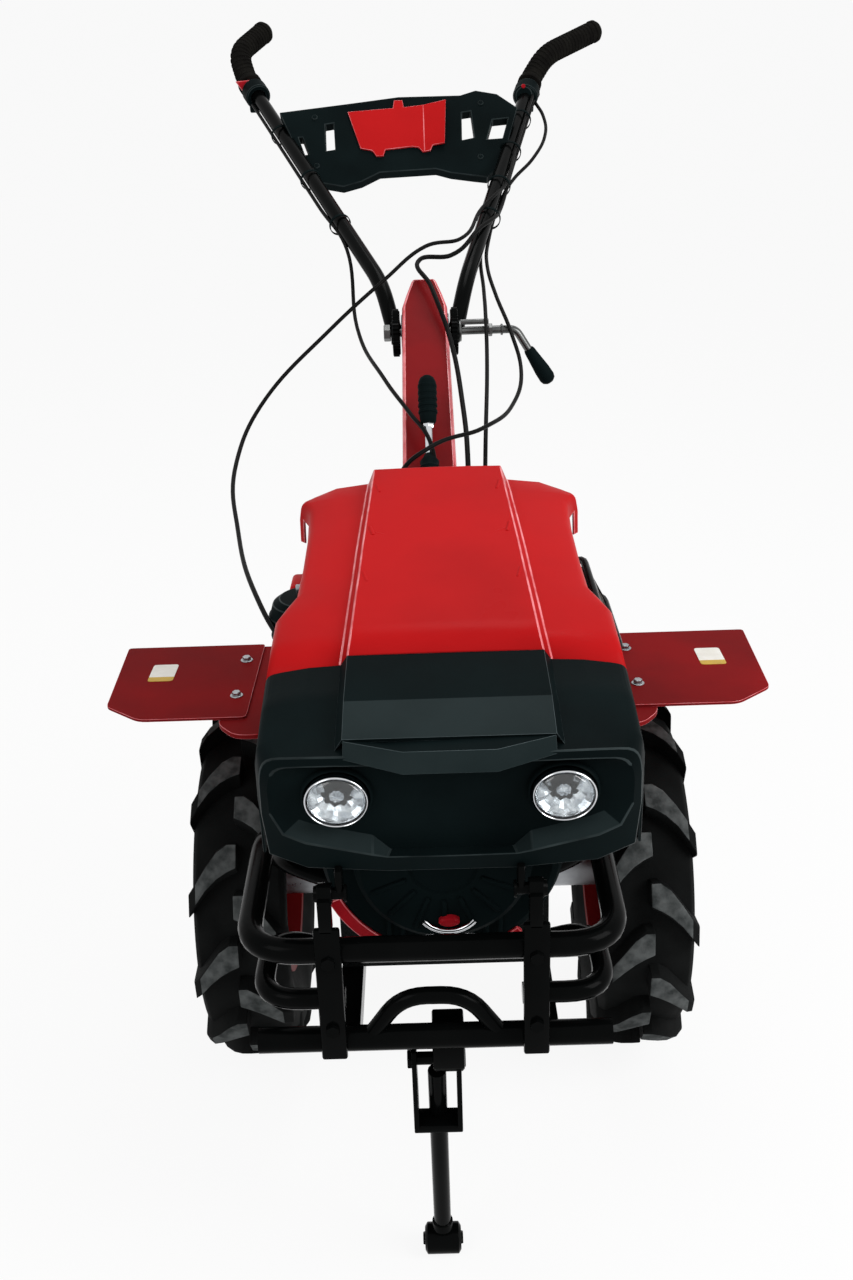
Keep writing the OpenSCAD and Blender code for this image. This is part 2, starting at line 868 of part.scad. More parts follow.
// where a tube leaves its disc, where it ends in the grip, and its direction
function tube_lug(side) = [side * disc_lug[0], disc_lug[1], disc_lug[2]];
function tube_end(side) = [side * grip_w / 2 - grip_swing, axle_y + grip_back, grip_z - side * 7];
function tube_run(side) = unit(tube_end(side) - tube_lug(side));

module handle_tube(side) {
    color([0.05, 0.05, 0.05])
        difference() {
            union() {
                on_side(side)
                    cross_pin(pivot_y, pivot_z, disc_d, disc_x, disc_x + disc_t);
                bent_tube([
                    [side * (disc_x + disc_t / 2 + 3), pivot_y, pivot_z],
                    tube_lug(side),
                    tube_end(side)
                ], bar_d, 30);
            }
            block([-disc_x, pivot_y - 60, pivot_z - 60], [disc_x, pivot_y + 60, pivot_z + 60]);
            cross_pin(pivot_y, pivot_z, column_bore, -80, 80);
        }
}

module grip(side) {
    bend = (side > 0 ? LEFT_GRIP : RIGHT_GRIP)[0];
    tip = (side > 0 ? LEFT_GRIP : RIGHT_GRIP)[1];
    color([0.08, 0.08, 0.07])
        bent_tube([
            tube_end(side),
            tube_end(side) + tube_run(side) * 22,
            tube_end(side) + bend,
            tube_end(side) + bend + tip
        ], grip_d, 30);
}

module clamp_crank() {
    color([0.05, 0.05, 0.05])
        union() {
            cross_pin(pivot_y, pivot_z, column_bore, -disc_x - disc_t - 12, 120);
            rod([120, pivot_y, pivot_z], [136, pivot_y, pivot_z - 26], 10);
            translate([120, pivot_y, pivot_z])
                sphere(d = 14, $fn = 20);
            rod([136, pivot_y, pivot_z - 26], [166, pivot_y, pivot_z - 72], 20);
        }
}

panel_t = 18;                                     // thickness of the panel
panel_shift = -25;                                // middle of the panel, between the tubes
// corners of the panel in its own plane, across and upwards
PANEL = [
    [-132, -70], [-60, -58], [20, -66], [52, -66], [64, -76], [108, -72], [130, -58],
    [184, 56], [170, 68], [108, 66], [94, 80], [58, 80], [44, 66], [-160, 62], [-176, 50]
];
// slots in its face: across, upwards, width, height
PANEL_SLOTS = [[-140, 28, 14, 34], [-88, 26, 20, 22], [72, 26, 12, 32], [128, 26, 16, 30]];

module in_panel() {
    translate([panel_shift, axle_y + panel_back, panel_z])
        rotate([50, 0, 0])
            children();
}

module handle_panel() {
    color([0.06, 0.07, 0.07])
        difference() {
            in_panel()
                difference() {
                    translate([0, 0, -panel_t / 2])
                        linear_extrude(height = panel_t)
                            polygon(PANEL);
                    for (slot = PANEL_SLOTS)
                        block([slot[0] - slot[2] / 2, slot[1] - slot[3] / 2, panel_t / 2 - 8],
                              [slot[0] + slot[2] / 2, slot[1] + slot[3] / 2, panel_t / 2 + 1]);
                }
            for (side = [-1, 1])
                rod(tube_lug(side), tube_end(side), bar_d + 2 * slack);
        }
}

module panel_plate() {
    color([0.65, 0.08, 0.1])
        in_panel()
            translate([10, 0, panel_t / 2 + slack])
                linear_extrude(height = 3)
                    polygon([[-42, -36], [36, -36], [44, 44], [-56, 44]]);
}

module hand_lever(side) {
    run = tube_run(side);
    seat = tube_end(side) - run * 34;
    color([0.08, 0.08, 0.08])
        difference() {
            union() {
                rod(seat - run * 12, seat + run * 12, bar_d + 16);
                rod(seat - [0, 4, 20], seat + [side * 16, 60, -8], 8);
            }
            rod(seat - run * 30, seat + run * 30, bar_d + slack);
        }
}

// ---- cables -----------------------------------------------------------------

// a point beside a handlebar tube, at a turn a around it, 0 outwards and -90 below
function beside_tube(side, back, a, lift = 0) =
    let (
        run = tube_run(side),
        out = side * unit(cross(run, [0, 0, 1])),
        up = side * cross(out, run),
        t = (axle_y + back - disc_lug[1]) / run[1]
    )
    tube_lug(side) + run * t + (bar_d / 2 + 3.4 + lift) * (out * cos(a) + up * sin(a)) - [0, axle_y, 0];

// a point above the top face of the column
function over_column(x, back, lift) = [x, back - 0.533 * lift, column_face(back) + 0.846 * lift];

lever_back = 938;                                 // where the cables leave the hand levers

// routes of the control cables: across, behind the axle, above the ground
THROTTLE = [
    beside_tube(1, lever_back, 20), beside_tube(1, 690, 20), beside_tube(1, 650, 62, 4),
    beside_tube(1, 612, 100, 5), [52, 512, 882],
    [4, 474, 878], [-52, 430, 840], [-124, 380, 788], [-212, 300, 717], [-232, 200, 667],
    [-216, 60, 624], [cleaner_x - 72, -110, 600], [cleaner_x - 42, -168, 580],
    [cleaner_x - 26, -200, 570], [cleaner_x - slack, -200, 570]
];
CLUTCH = [
    beside_tube(-1, lever_back, -30), beside_tube(-1, 560, -30),
    [-92, 450, 778], [-52, 300, 736], [-28, 224, 706],
    over_column(-24, 154, 40), over_column(-24, 154, 0.3)
];
GEAR = [
    beside_tube(1, lever_back, -14), beside_tube(1, 640, -14), beside_tube(1, 605, 30, 3),
    beside_tube(1, 570, 80, 3), [38, 500, 862], [-4, 484, 860], [12, 420, 832], [40, 350, 779],
    [56, 150, 671], [40, 84, 620], [40, 84, 554.3]
];
DRIVE = [
    beside_tube(1, lever_back, -80), beside_tube(1, 560, -80), [81, 470, 818], [80, 412, 801],
    [78, 340, 757], [66, 160, 671], [61, 90, 600], [61, 70, 500]
];
BRAKE = [
    beside_tube(1, lever_back, -47), beside_tube(1, 580, -47), [104, 452, 826], [106, 372, 772],
    [121, 320, 733], [109, 270, 713], [63, 165, 705], [0, 112, 698], [-36, 96, 680],
    [-38, 84, 620], [-38, 84, 554.3]
];

module cable(route, d) {
    color([0.04, 0.04, 0.04])
        translate([0, axle_y, 0])
            bent_tube(route, d, 14, 8, 2);
}

// ---- assembly ---------------------------------------------------------------

engine_block();
fan_housing();
starter_cover();
engine_frame();
air_cleaner();
muffler();
gearbox();
axle_housing();
rear_hitch();
bumper_top();
bumper_loops();
bumper_plates();
bumper_bottom();
tow_arch();
fender(-1);  // fender_right
fender(1);  // fender_left
fender_bracket(-1);  // fender_bracket_right
fender_bracket(1);  // fender_bracket_left
column();
gear_lever();
tyre(-1);  // tyre_right
rim(-1);  // rim_right
hub(-1);  // hub_right
tyre(1);  // tyre_left
rim(1);  // rim_left
hub(1);  // hub_left
stand_yoke();
stand_leg();
stand_foot();
bonnet_shell();
bonnet_front();
headlamp(-1);  // headlamp_right
headlamp(1);  // headlamp_left
handle_tube(-1);  // handle_tube_right
handle_tube(1);  // handle_tube_left
clamp_crank();
handle_panel();
panel_plate();
grip(-1);  // grip_right
grip(1);  // grip_left
hand_lever(-1);  // hand_lever_right
hand_lever(1);  // hand_lever_left
cable(THROTTLE, 5);  // cable_throttle
cable(CLUTCH, 5);  // cable_clutch
cable(GEAR, 6);  // cable_gear
cable(DRIVE, 5);  // cable_drive
cable(BRAKE, 5);  // cable_brake
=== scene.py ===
# Two-wheel walking power weeder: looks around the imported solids, front towards -Y.
# Pieces are made in millimetres, and shipPiece turns them into metres.
import math

import bmesh
import bpy
from mathutils import Matrix, Vector


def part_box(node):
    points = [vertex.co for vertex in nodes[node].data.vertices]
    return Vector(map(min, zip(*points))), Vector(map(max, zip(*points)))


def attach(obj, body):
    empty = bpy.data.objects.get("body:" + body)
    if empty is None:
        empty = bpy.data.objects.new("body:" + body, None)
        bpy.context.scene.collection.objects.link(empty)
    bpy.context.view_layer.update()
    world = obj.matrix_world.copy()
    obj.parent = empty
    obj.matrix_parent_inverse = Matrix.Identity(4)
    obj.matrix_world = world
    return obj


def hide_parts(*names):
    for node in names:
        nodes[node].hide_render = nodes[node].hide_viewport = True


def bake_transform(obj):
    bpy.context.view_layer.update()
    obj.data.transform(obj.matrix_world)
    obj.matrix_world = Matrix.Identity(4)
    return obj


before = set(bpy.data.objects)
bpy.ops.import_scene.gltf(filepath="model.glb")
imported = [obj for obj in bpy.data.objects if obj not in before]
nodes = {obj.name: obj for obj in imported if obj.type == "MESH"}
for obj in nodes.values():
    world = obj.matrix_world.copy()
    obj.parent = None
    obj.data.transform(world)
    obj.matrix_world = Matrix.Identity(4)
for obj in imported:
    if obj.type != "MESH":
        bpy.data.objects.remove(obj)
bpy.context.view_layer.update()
mm = 0.001

# camera, floor and light

camera = {
    "place": (-0.0019, -1.6497, 1.0836),
    "turn": -0.0124,      # towards the machine's left
    "tilt": 0.4028,       # down from level
    "roll": -0.0363,
    "lens": 36.6,
    "shift": (0.00625, -0.0043),
}
studio = {
    "floorColour": "F4F4F4", "floorGlow": 0.9, "floorHalf": 14,
    "skyStrength": 0.5, "skySeen": 0.945,    # as it lights, and as the camera sees it
    "lamps": (  # place, aim, size, watts
        ((-1.7, -2.2, 2.4), (0, -0.3, 0.5), 1.4, 16),
        ((1.7, -1.3, 1.7), (0.1, -0.2, 0.5), 1.2, 30),
        ((0.3, 0.9, 3.2), (0, 0.0, 0.7), 1.2, 20),
    ),
}


def linear(code):  # sRGB hex to linear red, green, blue, alpha
    parts = [int(code[i:i + 2], 16) / 255 for i in (0, 2, 4)]
    return [v / 12.92 if v < 0.04045 else ((v + 0.055) / 1.055) ** 2.4 for v in parts] + [1]


def addNode(tree, kind, settings=None, **sockets):
    node = tree.nodes.new(kind)
    for name, value in (settings or {}).items():
        setattr(node, name, value)
    for name, value in sockets.items():
        socket = node.inputs[int(name[1:])] if name[0] == "i" and name[1:].isdigit() else None
        socket = socket or node.inputs[name.replace("_", " ")]
        if isinstance(value, bpy.types.NodeSocket):
            tree.links.new(value, socket)
        else:
            socket.default_value = value
    return node


def freshMaterial(name):
    made = bpy.data.materials.new(name)
    made.use_nodes = True
    made.node_tree.nodes.clear()
    return made, made.node_tree


def addObject(name, data):
    made = bpy.data.objects.new(name, data)
    bpy.context.scene.collection.objects.link(made)
    return made


def seenDirectly(tree):  # 1 for what the camera sees straight, in a mirror or through glass
    rays = addNode(tree, "ShaderNodeLightPath").outputs
    seen = rays["Is Camera Ray"]
    for kind in ("Is Glossy Ray", "Is Transmission Ray"):
        seen = addNode(tree, "ShaderNodeMath", {"operation": "MAXIMUM"}, i0=seen, i1=rays[kind]).outputs[0]
    return seen


def setUpCamera():
    data = bpy.data.cameras.new("viewCamera")
    data.lens, data.sensor_width = camera["lens"], 36
    data.shift_x, data.shift_y = camera["shift"]
    data.clip_start, data.clip_end = 0.05, 60
    eye = addObject("viewCamera", data)
    eye.matrix_world = (
        Matrix.Translation(camera["place"])
        @ Matrix.Rotation(-camera["turn"], 4, "Z")
        @ Matrix.Rotation(math.pi / 2 - camera["tilt"], 4, "X")
        @ Matrix.Rotation(camera["roll"], 4, "Z")
    )
    bpy.context.scene.camera = eye


def setUpStudio():
    white = (1, 1, 1, 1)
    made, tree = freshMaterial("paleFloor")
    share = addNode(tree, "ShaderNodeMath", {"operation": "MULTIPLY"}, i0=seenDirectly(tree),
                    i1=studio["floorGlow"])
    matt = addNode(tree, "ShaderNodeBsdfDiffuse", Color=linear(studio["floorColour"]))
    glow = addNode(tree, "ShaderNodeEmission", Color=white, Strength=1.0)
    mix = addNode(tree, "ShaderNodeMixShader", i0=share.outputs[0], i1=matt.outputs[0], i2=glow.outputs[0])
    addNode(tree, "ShaderNodeOutputMaterial", Surface=mix.outputs[0])
    form = bmesh.new()
    bmesh.ops.create_grid(form, x_segments=1, y_segments=1, size=studio["floorHalf"])
    mesh = bpy.data.meshes.new("paleFloor")
    form.to_mesh(mesh)
    form.free()
    mesh.materials.append(made)
    addObject("paleFloor", mesh)

    world = bpy.data.worlds.new("softSky")
    bpy.context.scene.world = world
    world.use_nodes = True
    tree = world.node_tree
    tree.nodes.clear()
    level = addNode(tree, "ShaderNodeMapRange", Value=seenDirectly(tree),
                    To_Min=studio["skyStrength"], To_Max=studio["skySeen"])
    sky = addNode(tree, "ShaderNodeBackground", Color=white, Strength=level.outputs[0])
    addNode(tree, "ShaderNodeOutputWorld", Surface=sky.outputs[0])

    for count, (place, aim, size, watts) in enumerate(studio["lamps"]):
        data = bpy.data.lights.new(f"softLamp{count}", "AREA")
        data.shape, data.size, data.energy = "SQUARE", size, watts
        lamp = addObject(f"softLamp{count}", data)
        lamp.location = place
        lamp.rotation_euler = (Vector(aim) - Vector(place)).to_track_quat("-Z", "Y").to_euler()
    bpy.context.scene.view_settings.view_transform = "Standard"


setUpCamera()
setUpStudio()
print("camera and light are ready")

# finishes: slot, lighter and darker tone, roughness, width of the patches and of the grain in millimetres,
# depth of the grain, specular level, index of refraction, metal

finishes = {
    # glossy baked enamel on moulded sheet, deep and even
    "redEnamel": ("red_paint", "BC1A1C", "AE1719", 0.32, 160, 2.2, 0.02, 0.02),
    # the same enamel painted paler along its rounded edges, a painted highlight
    "redEdge": (None, "F08288", "CC2E36", 0.2, 26, 1.5, 0.02, 0.6),
    # satin enamel on thick steel
    "columnEnamel": ("dark_red_paint", "80171A", "701316", 0.34, 90, 1.5, 0.03, 0.02),
    # the same enamel on thin plate, darker and duller
    "fenderEnamel": ("dark_red_paint", "841A1C", "701618", 0.42, 120, 1.2, 0.03, 0.008),
    # moulded ABS with a fine leather grain
    "blackAbs": ("black_plastic", "0F1819", "091011", 0.5, 110, 0.8, 0.05, 0.01, 1.54),
    # the same ABS painted paler along its rounded edges, a painted highlight
    "blackEdge": (None, "2E3738", "161E1F", 0.4, 40, 0.8, 0.03, 0.06, 1.54),
    # the same ABS a shade paler, painted light on faces turned up or to the front
    "satinAbs": (None, "242D2E", "1B2425", 0.45, 110, 0.8, 0.04, 0.02, 1.54),
    # paler still, a painted highlight along the edges of the spine's end and the beak
    "paleAbs": (None, "566163", "3C4749", 0.4, 60, 0.8, 0.03, 0.06, 1.54),
    # dark phosphated steel rod
    "darkSteel": ("steel", "6A6B6A", "4E4F4F", 0.3, 25, 0.8, 0.04, 0.5, 1.5, 1.0),
    # gloss powder coat on tube, slight orange peel
    "blackPowder": ("black_paint", "080909", "050606", 0.16, 60, 1.0, 0.05, 0.025),
    # natural rubber with dust in its low places
    "tyreRubber": ("tyre_rubber", "191A1A", "0E0F0F", 0.75, 45, 0.9, 0.12, 0.03, 1.52),
    # scuffed tops of the lugs
    "wornRubber": (None, "5C5F5F", "343737", 0.85, 14, 0.9, 0.16, 0.05, 1.52),
    # closed cell foam, matt and pitted
    "gripFoam": ("foam", "1C1B19", "131211", 0.86, 20, 1.4, 0.25, 0.02, 1.45),
    # rough sand casting under grey paint
    "greyCasting": ("grey_casting", "303234", "242628", 0.5, 40, 2.5, 0.25, 0.1),
    # crankcase, much darker than the grey gearbox casting, over rough casting
    "darkCasting": (None, "191B1B", "121414", 0.55, 40, 2.5, 0.2, 0.05),
    # zinc plated steel
    "zincSteel": ("steel", "A9ABAE", "8F9195", 0.3, 25, 0.8, 0.04, 0.5, 1.5, 1.0),
    # hard chrome
    "chrome": ("steel", "D5D7DA", "C6C8CC", 0.08, 60, 3.0, 0.005, 0.5, 1.5, 1.0),
    # vacuum-metallised mirror, bright and a little uneven
    "mirrorBowl": ("steel", "F4F5F6", "B4B8BC", 0.24, 7, 2.0, 0.02, 0.5, 1.5, 1.0),
    # heat-proof black on pressed steel
    "mufflerSteel": ("muffler_steel", "2B2A29", "3A322C", 0.6, 28, 1.0, 0.12, 0.5, 1.5, 0.6),
    # soft pvc sleeve
    "cableSleeve": ("cable_sheath", "0E0E0E", "0A0A0A", 0.4, 80, 1.0, 0.03, 0.04, 1.53),
    # red pvc, for switches
    "redPlastic": ("red_paint", "A81722", "98131D", 0.35, 40, 1.0, 0.03, 0.05),
    # blank paper label under film, and its yellow band
    "labelWhite": ("dark_red_paint", "EDEBE4", "E2DFD6", 0.45, 12, 0.6, 0.01, 0.3),
    "labelYellow": (None, "C9A63A", "BD9830", 0.45, 12, 0.6, 0.01, 0.3),
}


def makeFinish(name, hex, low, rough, patch, grain, depth, spec=0.5, ior=1.5, metal=0.0):
    made, tree = freshMaterial(name)
    place = addNode(tree, "ShaderNodeTexCoord").outputs["Object"]
    patches = addNode(tree, "ShaderNodeTexNoise", Vector=place, Scale=1000 / patch, Detail=4.0)
    fine = addNode(tree, "ShaderNodeTexNoise", Vector=place, Scale=1000 / grain, Detail=2.0)
    blendIn = addNode(tree, "ShaderNodeMapRange", Value=patches.outputs["Fac"], From_Min=0.35, From_Max=0.65)
    colour = addNode(tree, "ShaderNodeMix", {"data_type": "RGBA"}, i0=blendIn.outputs[0],
                     i6=linear(low), i7=linear(hex))
    sheen = addNode(tree, "ShaderNodeMapRange", Value=patches.outputs["Fac"], From_Min=0.3, From_Max=0.7,
                    To_Min=rough * 0.82, To_Max=min(1.0, rough * 1.18))
    bump = addNode(tree, "ShaderNodeBump", Height=fine.outputs["Fac"], Strength=min(1.0, depth * 4),
                   Distance=grain * mm * depth * 4)
    body = addNode(tree, "ShaderNodeBsdfPrincipled", Base_Color=colour.outputs[2], Roughness=sheen.outputs[0],
                   Metallic=metal, Normal=bump.outputs[0], IOR=ior, Specular_IOR_Level=spec)
    addNode(tree, "ShaderNodeOutputMaterial", Surface=body.outputs[0])
    return made


finish = {name: makeFinish(name, *row[1:]) for name, row in finishes.items()}


def makeGlass():  # clear polycarbonate lens
    made, tree = freshMaterial("lampGlass")
    place = addNode(tree, "ShaderNodeTexCoord").outputs["Object"]
    waves = addNode(tree, "ShaderNodeTexNoise", Vector=place, Scale=1000 / 12, Detail=1.0)
    bump = addNode(tree, "ShaderNodeBump", Height=waves.outputs["Fac"], Strength=0.05, Distance=mm)
    body = addNode(tree, "ShaderNodeBsdfPrincipled", Base_Color=linear("F4F8FA"), Roughness=0.03, IOR=1.58,
                   Transmission_Weight=1.0, Normal=bump.outputs[0])
    addNode(tree, "ShaderNodeOutputMaterial", Surface=body.outputs[0])
    return made


finish["lampGlass"] = makeGlass()
print("finishes:", len(finish))

cadFinish = {
    "redEnamel": "bonnet_shell panel_plate",
    "columnEnamel": "column engine_frame",
    "fenderEnamel": "rim_left rim_right fender_left fender_right fender_bracket_left fender_bracket_right",
    "blackAbs": "bonnet_front fan_housing starter_cover air_cleaner handle_panel hand_lever_left "
                "hand_lever_right gear_lever",
    "blackPowder": "bumper_top bumper_loops bumper_plates bumper_bottom tow_arch stand_yoke stand_leg "
                   "stand_foot handle_tube_left handle_tube_right clamp_crank rear_hitch",
    "tyreRubber": "tyre_left tyre_right",
    "gripFoam": "grip_left grip_right",
    "greyCasting": "gearbox axle_housing",
    "darkCasting": "engine_block",
    "zincSteel": "hub_left hub_right",
    "chrome": "headlamp_left headlamp_right",
    "mufflerSteel": "muffler",
    "cableSleeve": "cable_throttle cable_clutch cable_gear cable_drive cable_brake",
}
for look, members in cadFinish.items():
    for member in members.split():
        nodes[member].data.materials.clear()
        nodes[member].data.materials.append(finish[look])
print("finishes are on the solids")

axleY, axleZ = (sum(Vector(corner)[k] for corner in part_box("tyre_left")) / 2 / mm for k in (1, 2))


# ways of making a piece, all in millimetres

def at(x, back, z):  # a point measured rearwards from the axle
    return Vector((x, axleY + back, z))


def faceOut(form):
    bmesh.ops.recalc_face_normals(form, faces=form.faces)


def tidyForm(form):
    bmesh.ops.remove_doubles(form, verts=form.verts, dist=0.01)
    faceOut(form)


edgeHighlightLooks = ("redEdge", "blackEdge", "paleAbs")    # painted-highlight looks that a rounded edge takes, where they come second


def shipPiece(form, name, looks, stands="", rides="chassis", crease=34, edge=0.0, steps=2,
              wall=0.0, picks=None):
    looks = looks.split()
    if picks:  # only chosen edges are rounded
        weight = form.edges.layers.float.new("bevel_weight_edge")
        for rim in form.edges:
            sharp = rim.is_boundary or rim.calc_face_angle(0) > math.radians(crease)
            rim[weight] = float(sharp and picks(*(v.co for v in rim.verts)))
    bmesh.ops.scale(form, vec=(mm, mm, mm), verts=form.verts)
    mesh = bpy.data.meshes.new(name)
    form.to_mesh(mesh)
    form.free()
    for look in looks:
        mesh.materials.append(finish[look])
    for face in mesh.polygons:
        face.use_smooth = True
    mesh.set_sharp_from_angle(angle=math.radians(crease))
    piece = addObject(name, mesh)
    if wall:
        sheet = piece.modifiers.new("wall", "SOLIDIFY")
        sheet.thickness, sheet.offset = wall * mm, -1
    if edge:
        soft = piece.modifiers.new("edge", "BEVEL")
        soft.width, soft.segments, soft.limit_method = edge * mm, steps, "WEIGHT" if picks else "ANGLE"
        soft.angle_limit, soft.harden_normals = math.radians(crease), True
        # the bevel takes the second look where it is a painted edge highlight
        soft.material = 1 if looks[1:] and looks[1] in edgeHighlightLooks else -1
    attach(piece, rides)
    if stands:
        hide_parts(*stands.split())


def roundPath(points, bend, steps=6):  # corners of a route turned into arcs
    spots = [Vector(p) for p in points]
    path = [spots[0]]
    for before, here, after in zip(spots, spots[1:], spots[2:]):
        back, on = (before - here), (after - here)
        reach = min(bend, back.length * 0.49, on.length * 0.49)
        start, end = here + back.normalized() * reach, here + on.normalized() * reach
        for k in range(steps + 1):
            t = k / steps
            path.append(start * (1 - t) ** 2 + here * 2 * t * (1 - t) + end * t ** 2)
    return path + [spots[-1]]


def addTube(form, points, radius, bend=0.0, sides=20, steps=6):
    path = roundPath(points, bend, steps) if bend else [Vector(p) for p in points]
    curve = bpy.data.curves.new("route", "CURVE")
    curve.dimensions, curve.bevel_depth, curve.use_fill_caps = "3D", radius, True
    curve.bevel_resolution = max(1, sides // 4 - 1)
    line = curve.splines.new("POLY")
    line.points.add(len(path) - 1)
    for point, spot in zip(line.points, path):
        point.co = (*spot, 1)
    holder = bpy.data.objects.new("route", curve)
    mesh = bpy.data.meshes.new_from_object(holder)
    form.from_mesh(mesh)
    bpy.data.objects.remove(holder)
    bpy.data.curves.remove(curve)
    bpy.data.meshes.remove(mesh)
    bmesh.ops.remove_doubles(form, verts=form.verts, dist=0.001)


def addRing(form, points, closed=True):  # a loop of edges through the points
    verts = [form.verts.new(p) for p in points]
    ends = zip(verts, verts[1:] + verts[:1]) if closed else zip(verts, verts[1:])
    return [form.edges.new(pair) for pair in ends]


def addLoft(form, rings, closed=True, caps=False):
    loops = [addRing(form, ring, closed) for ring in rings]
    for one, two in zip(loops, loops[1:]):
        bmesh.ops.bridge_loops(form, edges=one + two)
    if caps:
        for loop in (loops[0], loops[-1]):
            bmesh.ops.contextual_create(form, geom=loop)


def addBlock(form, low, high, edge, steps=2):
    low, high = Vector(low), Vector(high)
    made = bmesh.ops.create_cube(form, size=1)["verts"]
    bmesh.ops.scale(form, vec=high - low, verts=made)
    made = bmesh.ops.bevel(form, geom=list({e for v in made for e in v.link_edges}), offset=edge,
                           segments=steps, profile=0.5, affect="EDGES", material=-1)["verts"]
    bmesh.ops.translate(form, vec=(low + high) / 2, verts=made)
    return made


facing = {"X": Matrix(), "Y": Matrix.Rotation(math.pi / 2, 4, "Z"),
          "Z": Matrix.Rotation(-math.pi / 2, 4, "Y")}


def addTurned(form, profile, centre, axis="X", steps=48, hand=1):
    # profile of (along the axis, radius) turned about the axis through the centre
    start = [form.verts.new((hand * along, 0, radius)) for along, radius in profile]
    edges = [form.edges.new(pair) for pair in zip(start, start[1:])]
    bmesh.ops.spin(form, geom=start + edges, cent=(0, 0, 0), axis=(1, 0, 0), angle=math.tau, steps=steps,
                   use_merge=True)
    made, stack = set(start), list(start)
    while stack:
        for edge in stack.pop().link_edges:
            for vert in edge.verts:
                if vert not in made:
                    made.add(vert)
                    stack.append(vert)
    if isinstance(axis, str):
        turn = facing[axis]
    else:
        turn = Vector((1, 0, 0)).rotation_difference(axis).to_matrix().to_4x4()
    bmesh.ops.transform(form, matrix=Matrix.Translation(centre) @ turn, verts=list(made))
    return made


def addBolt(form, centre, foot, brim, head, radius, tip, axis="X", steps=6, hand=1):
    profile = [(foot, 0), (foot, radius), (brim, radius), (head, tip), (head, 0)]
    addTurned(form, profile, centre, axis, steps, hand)


def mirrored(form):
    bmesh.ops.mirror(form, geom=form.verts[:] + form.edges[:] + form.faces[:], axis="X", merge_dist=0.01)


# tyres: a spun carcass and two rows of curved lugs

tyre = {
    "carcass": 186, "bead": 104, "lugs": 12,
    "lugAcross": (-2, 8, 19, 31, 42, 51),     # from the middle of the tread
    "lugAlong": (0, 2, 9, 22, 37, 50),        # backwards round the tread
    "lugWidth": (27, 32, 31, 26, 24, 26),
    "lugTop": (205.5, 205.8, 205.5, 204, 200.5, 192),
    "lugFoot": (182, 182, 181, 178, 172, 160),
}


def makeTyre(side):
    low, high = (Vector(v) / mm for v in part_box(f"tyre_{side}"))
    middle = (low.x + high.x) / 2
    hand = 1 if middle > 0 else -1
    form = bmesh.new()
    top, bead, lugs = tyre["carcass"], tyre["bead"], tyre["lugs"]
    profile = [(-36, bead), (-38, bead + 12), (-46, bead + 34), (-50, bead + 54), (-49, top - 12),
               (-44, top - 5), (-30, top - 1.5), (0, top), (30, top - 1.5), (44, top - 5), (49, top - 12),
               (50, bead + 54), (46, bead + 34), (38, bead + 12), (36, bead), (0, bead - 1), (-36, bead)]
    addTurned(form, profile, (0, 0, 0), steps=96)
    for half, shift in ((1, 0), (-1, 0.5)):
        rings = []
        rows = zip(tyre["lugAcross"], tyre["lugAlong"], tyre["lugWidth"], tyre["lugTop"], tyre["lugFoot"])
        for across, along, width, peak, foot in rows:
            ring = []
            for radius, spread in ((foot, 1.12), (peak - 4, 1.0), (peak, 0.86)):
                ring.append((radius, along - width * spread / 2))
            for radius, spread in ((peak, 0.86), (peak - 4, 1.0), (foot, 1.12)):
                ring.append((radius, along + width * spread / 2))
            rings.append([(half * across, -r * math.sin(s / 190), r * math.cos(s / 190)) for r, s in ring])
        lug = bmesh.new()
        addLoft(lug, rings, caps=True)
        tidyForm(lug)
        bmesh.ops.rotate(lug, cent=(0, 0, 0), verts=lug.verts,
                         matrix=Matrix.Rotation(math.tau / lugs * (shift + 0.2), 3, "X"))
        bmesh.ops.spin(lug, geom=lug.verts[:] + lug.edges[:] + lug.faces[:], cent=(0, 0, 0), axis=(1, 0, 0),
                       angle=math.tau * (lugs - 1) / lugs, steps=lugs - 1, use_duplicate=True)
        keep = bpy.data.meshes.new("lugs")
        lug.to_mesh(keep)
        lug.free()
        form.from_mesh(keep)
        bpy.data.meshes.remove(keep)
    # two fine rings moulded on the outer wall
    for radius in (bead + 20, bead + 44):
        addTurned(form, [(46, radius - 2.4), (radius * 0.08 + 36.5, radius), (46, radius + 2.4)], (0, 0, 0),
                  steps=64, hand=hand)
    faceOut(form)
    for face in form.faces:  # the tops of the lugs are worn grey
        spot = face.calc_center_median()
        out = Vector((0, spot.y, spot.z))
        if out.length > 190 and face.normal.dot(out.normalized()) > 0.86:
            face.material_index = 1
    bmesh.ops.translate(form, vec=(middle, axleY, axleZ), verts=form.verts)
    shipPiece(form, f"tyreRubber{side.capitalize()}", "tyreRubber wornRubber", f"tyre_{side}",
              rides=f"wheel_{side}", crease=38, edge=1.6)


for side in ("left", "right"):
    makeTyre(side)
print("tyres are made")

# bonnet: red shell with a raised spine, one half lofted from sections and mirrored

bonnet = {
    "middle": 8, "wall": 3, "low": 492,
    # behind the axle, height and half width of the spine, height and half width of the roof
    "sections": (
        (-312, 631.5, 84.5, 622, 158.5), (-262, 640, 82.5, 630, 158.5), (-222, 647, 81, 637, 158),
        (-200, 651, 80, 641, 150), (-178, 654.5, 79, 644.5, 141.5), (-120, 664, 77, 654, 139),
        (-50, 675, 74, 664, 138.5), (0, 684, 71.5, 671, 140.5), (16, 686.5, 71, 673, 147),
        (34, 689.5, 70, 675, 152), (52, 692, 69.5, 676, 151),
    ),
    "cornerCut": {34: 0.2, 52: 0.46},      # how fast the rear corners fall forwards
    "flankLean": {-222: 44, -262: 20},     # the flank's rear edge slants forwards below
    "tab": 26,
    # rows of pressed chevrons: behind the axle at the ends and in the middle, half widths
    "chevrons": ((0, -26, 60, 24), (-94, -121, 65, 19), (-185, -211, 69, 16)),
}


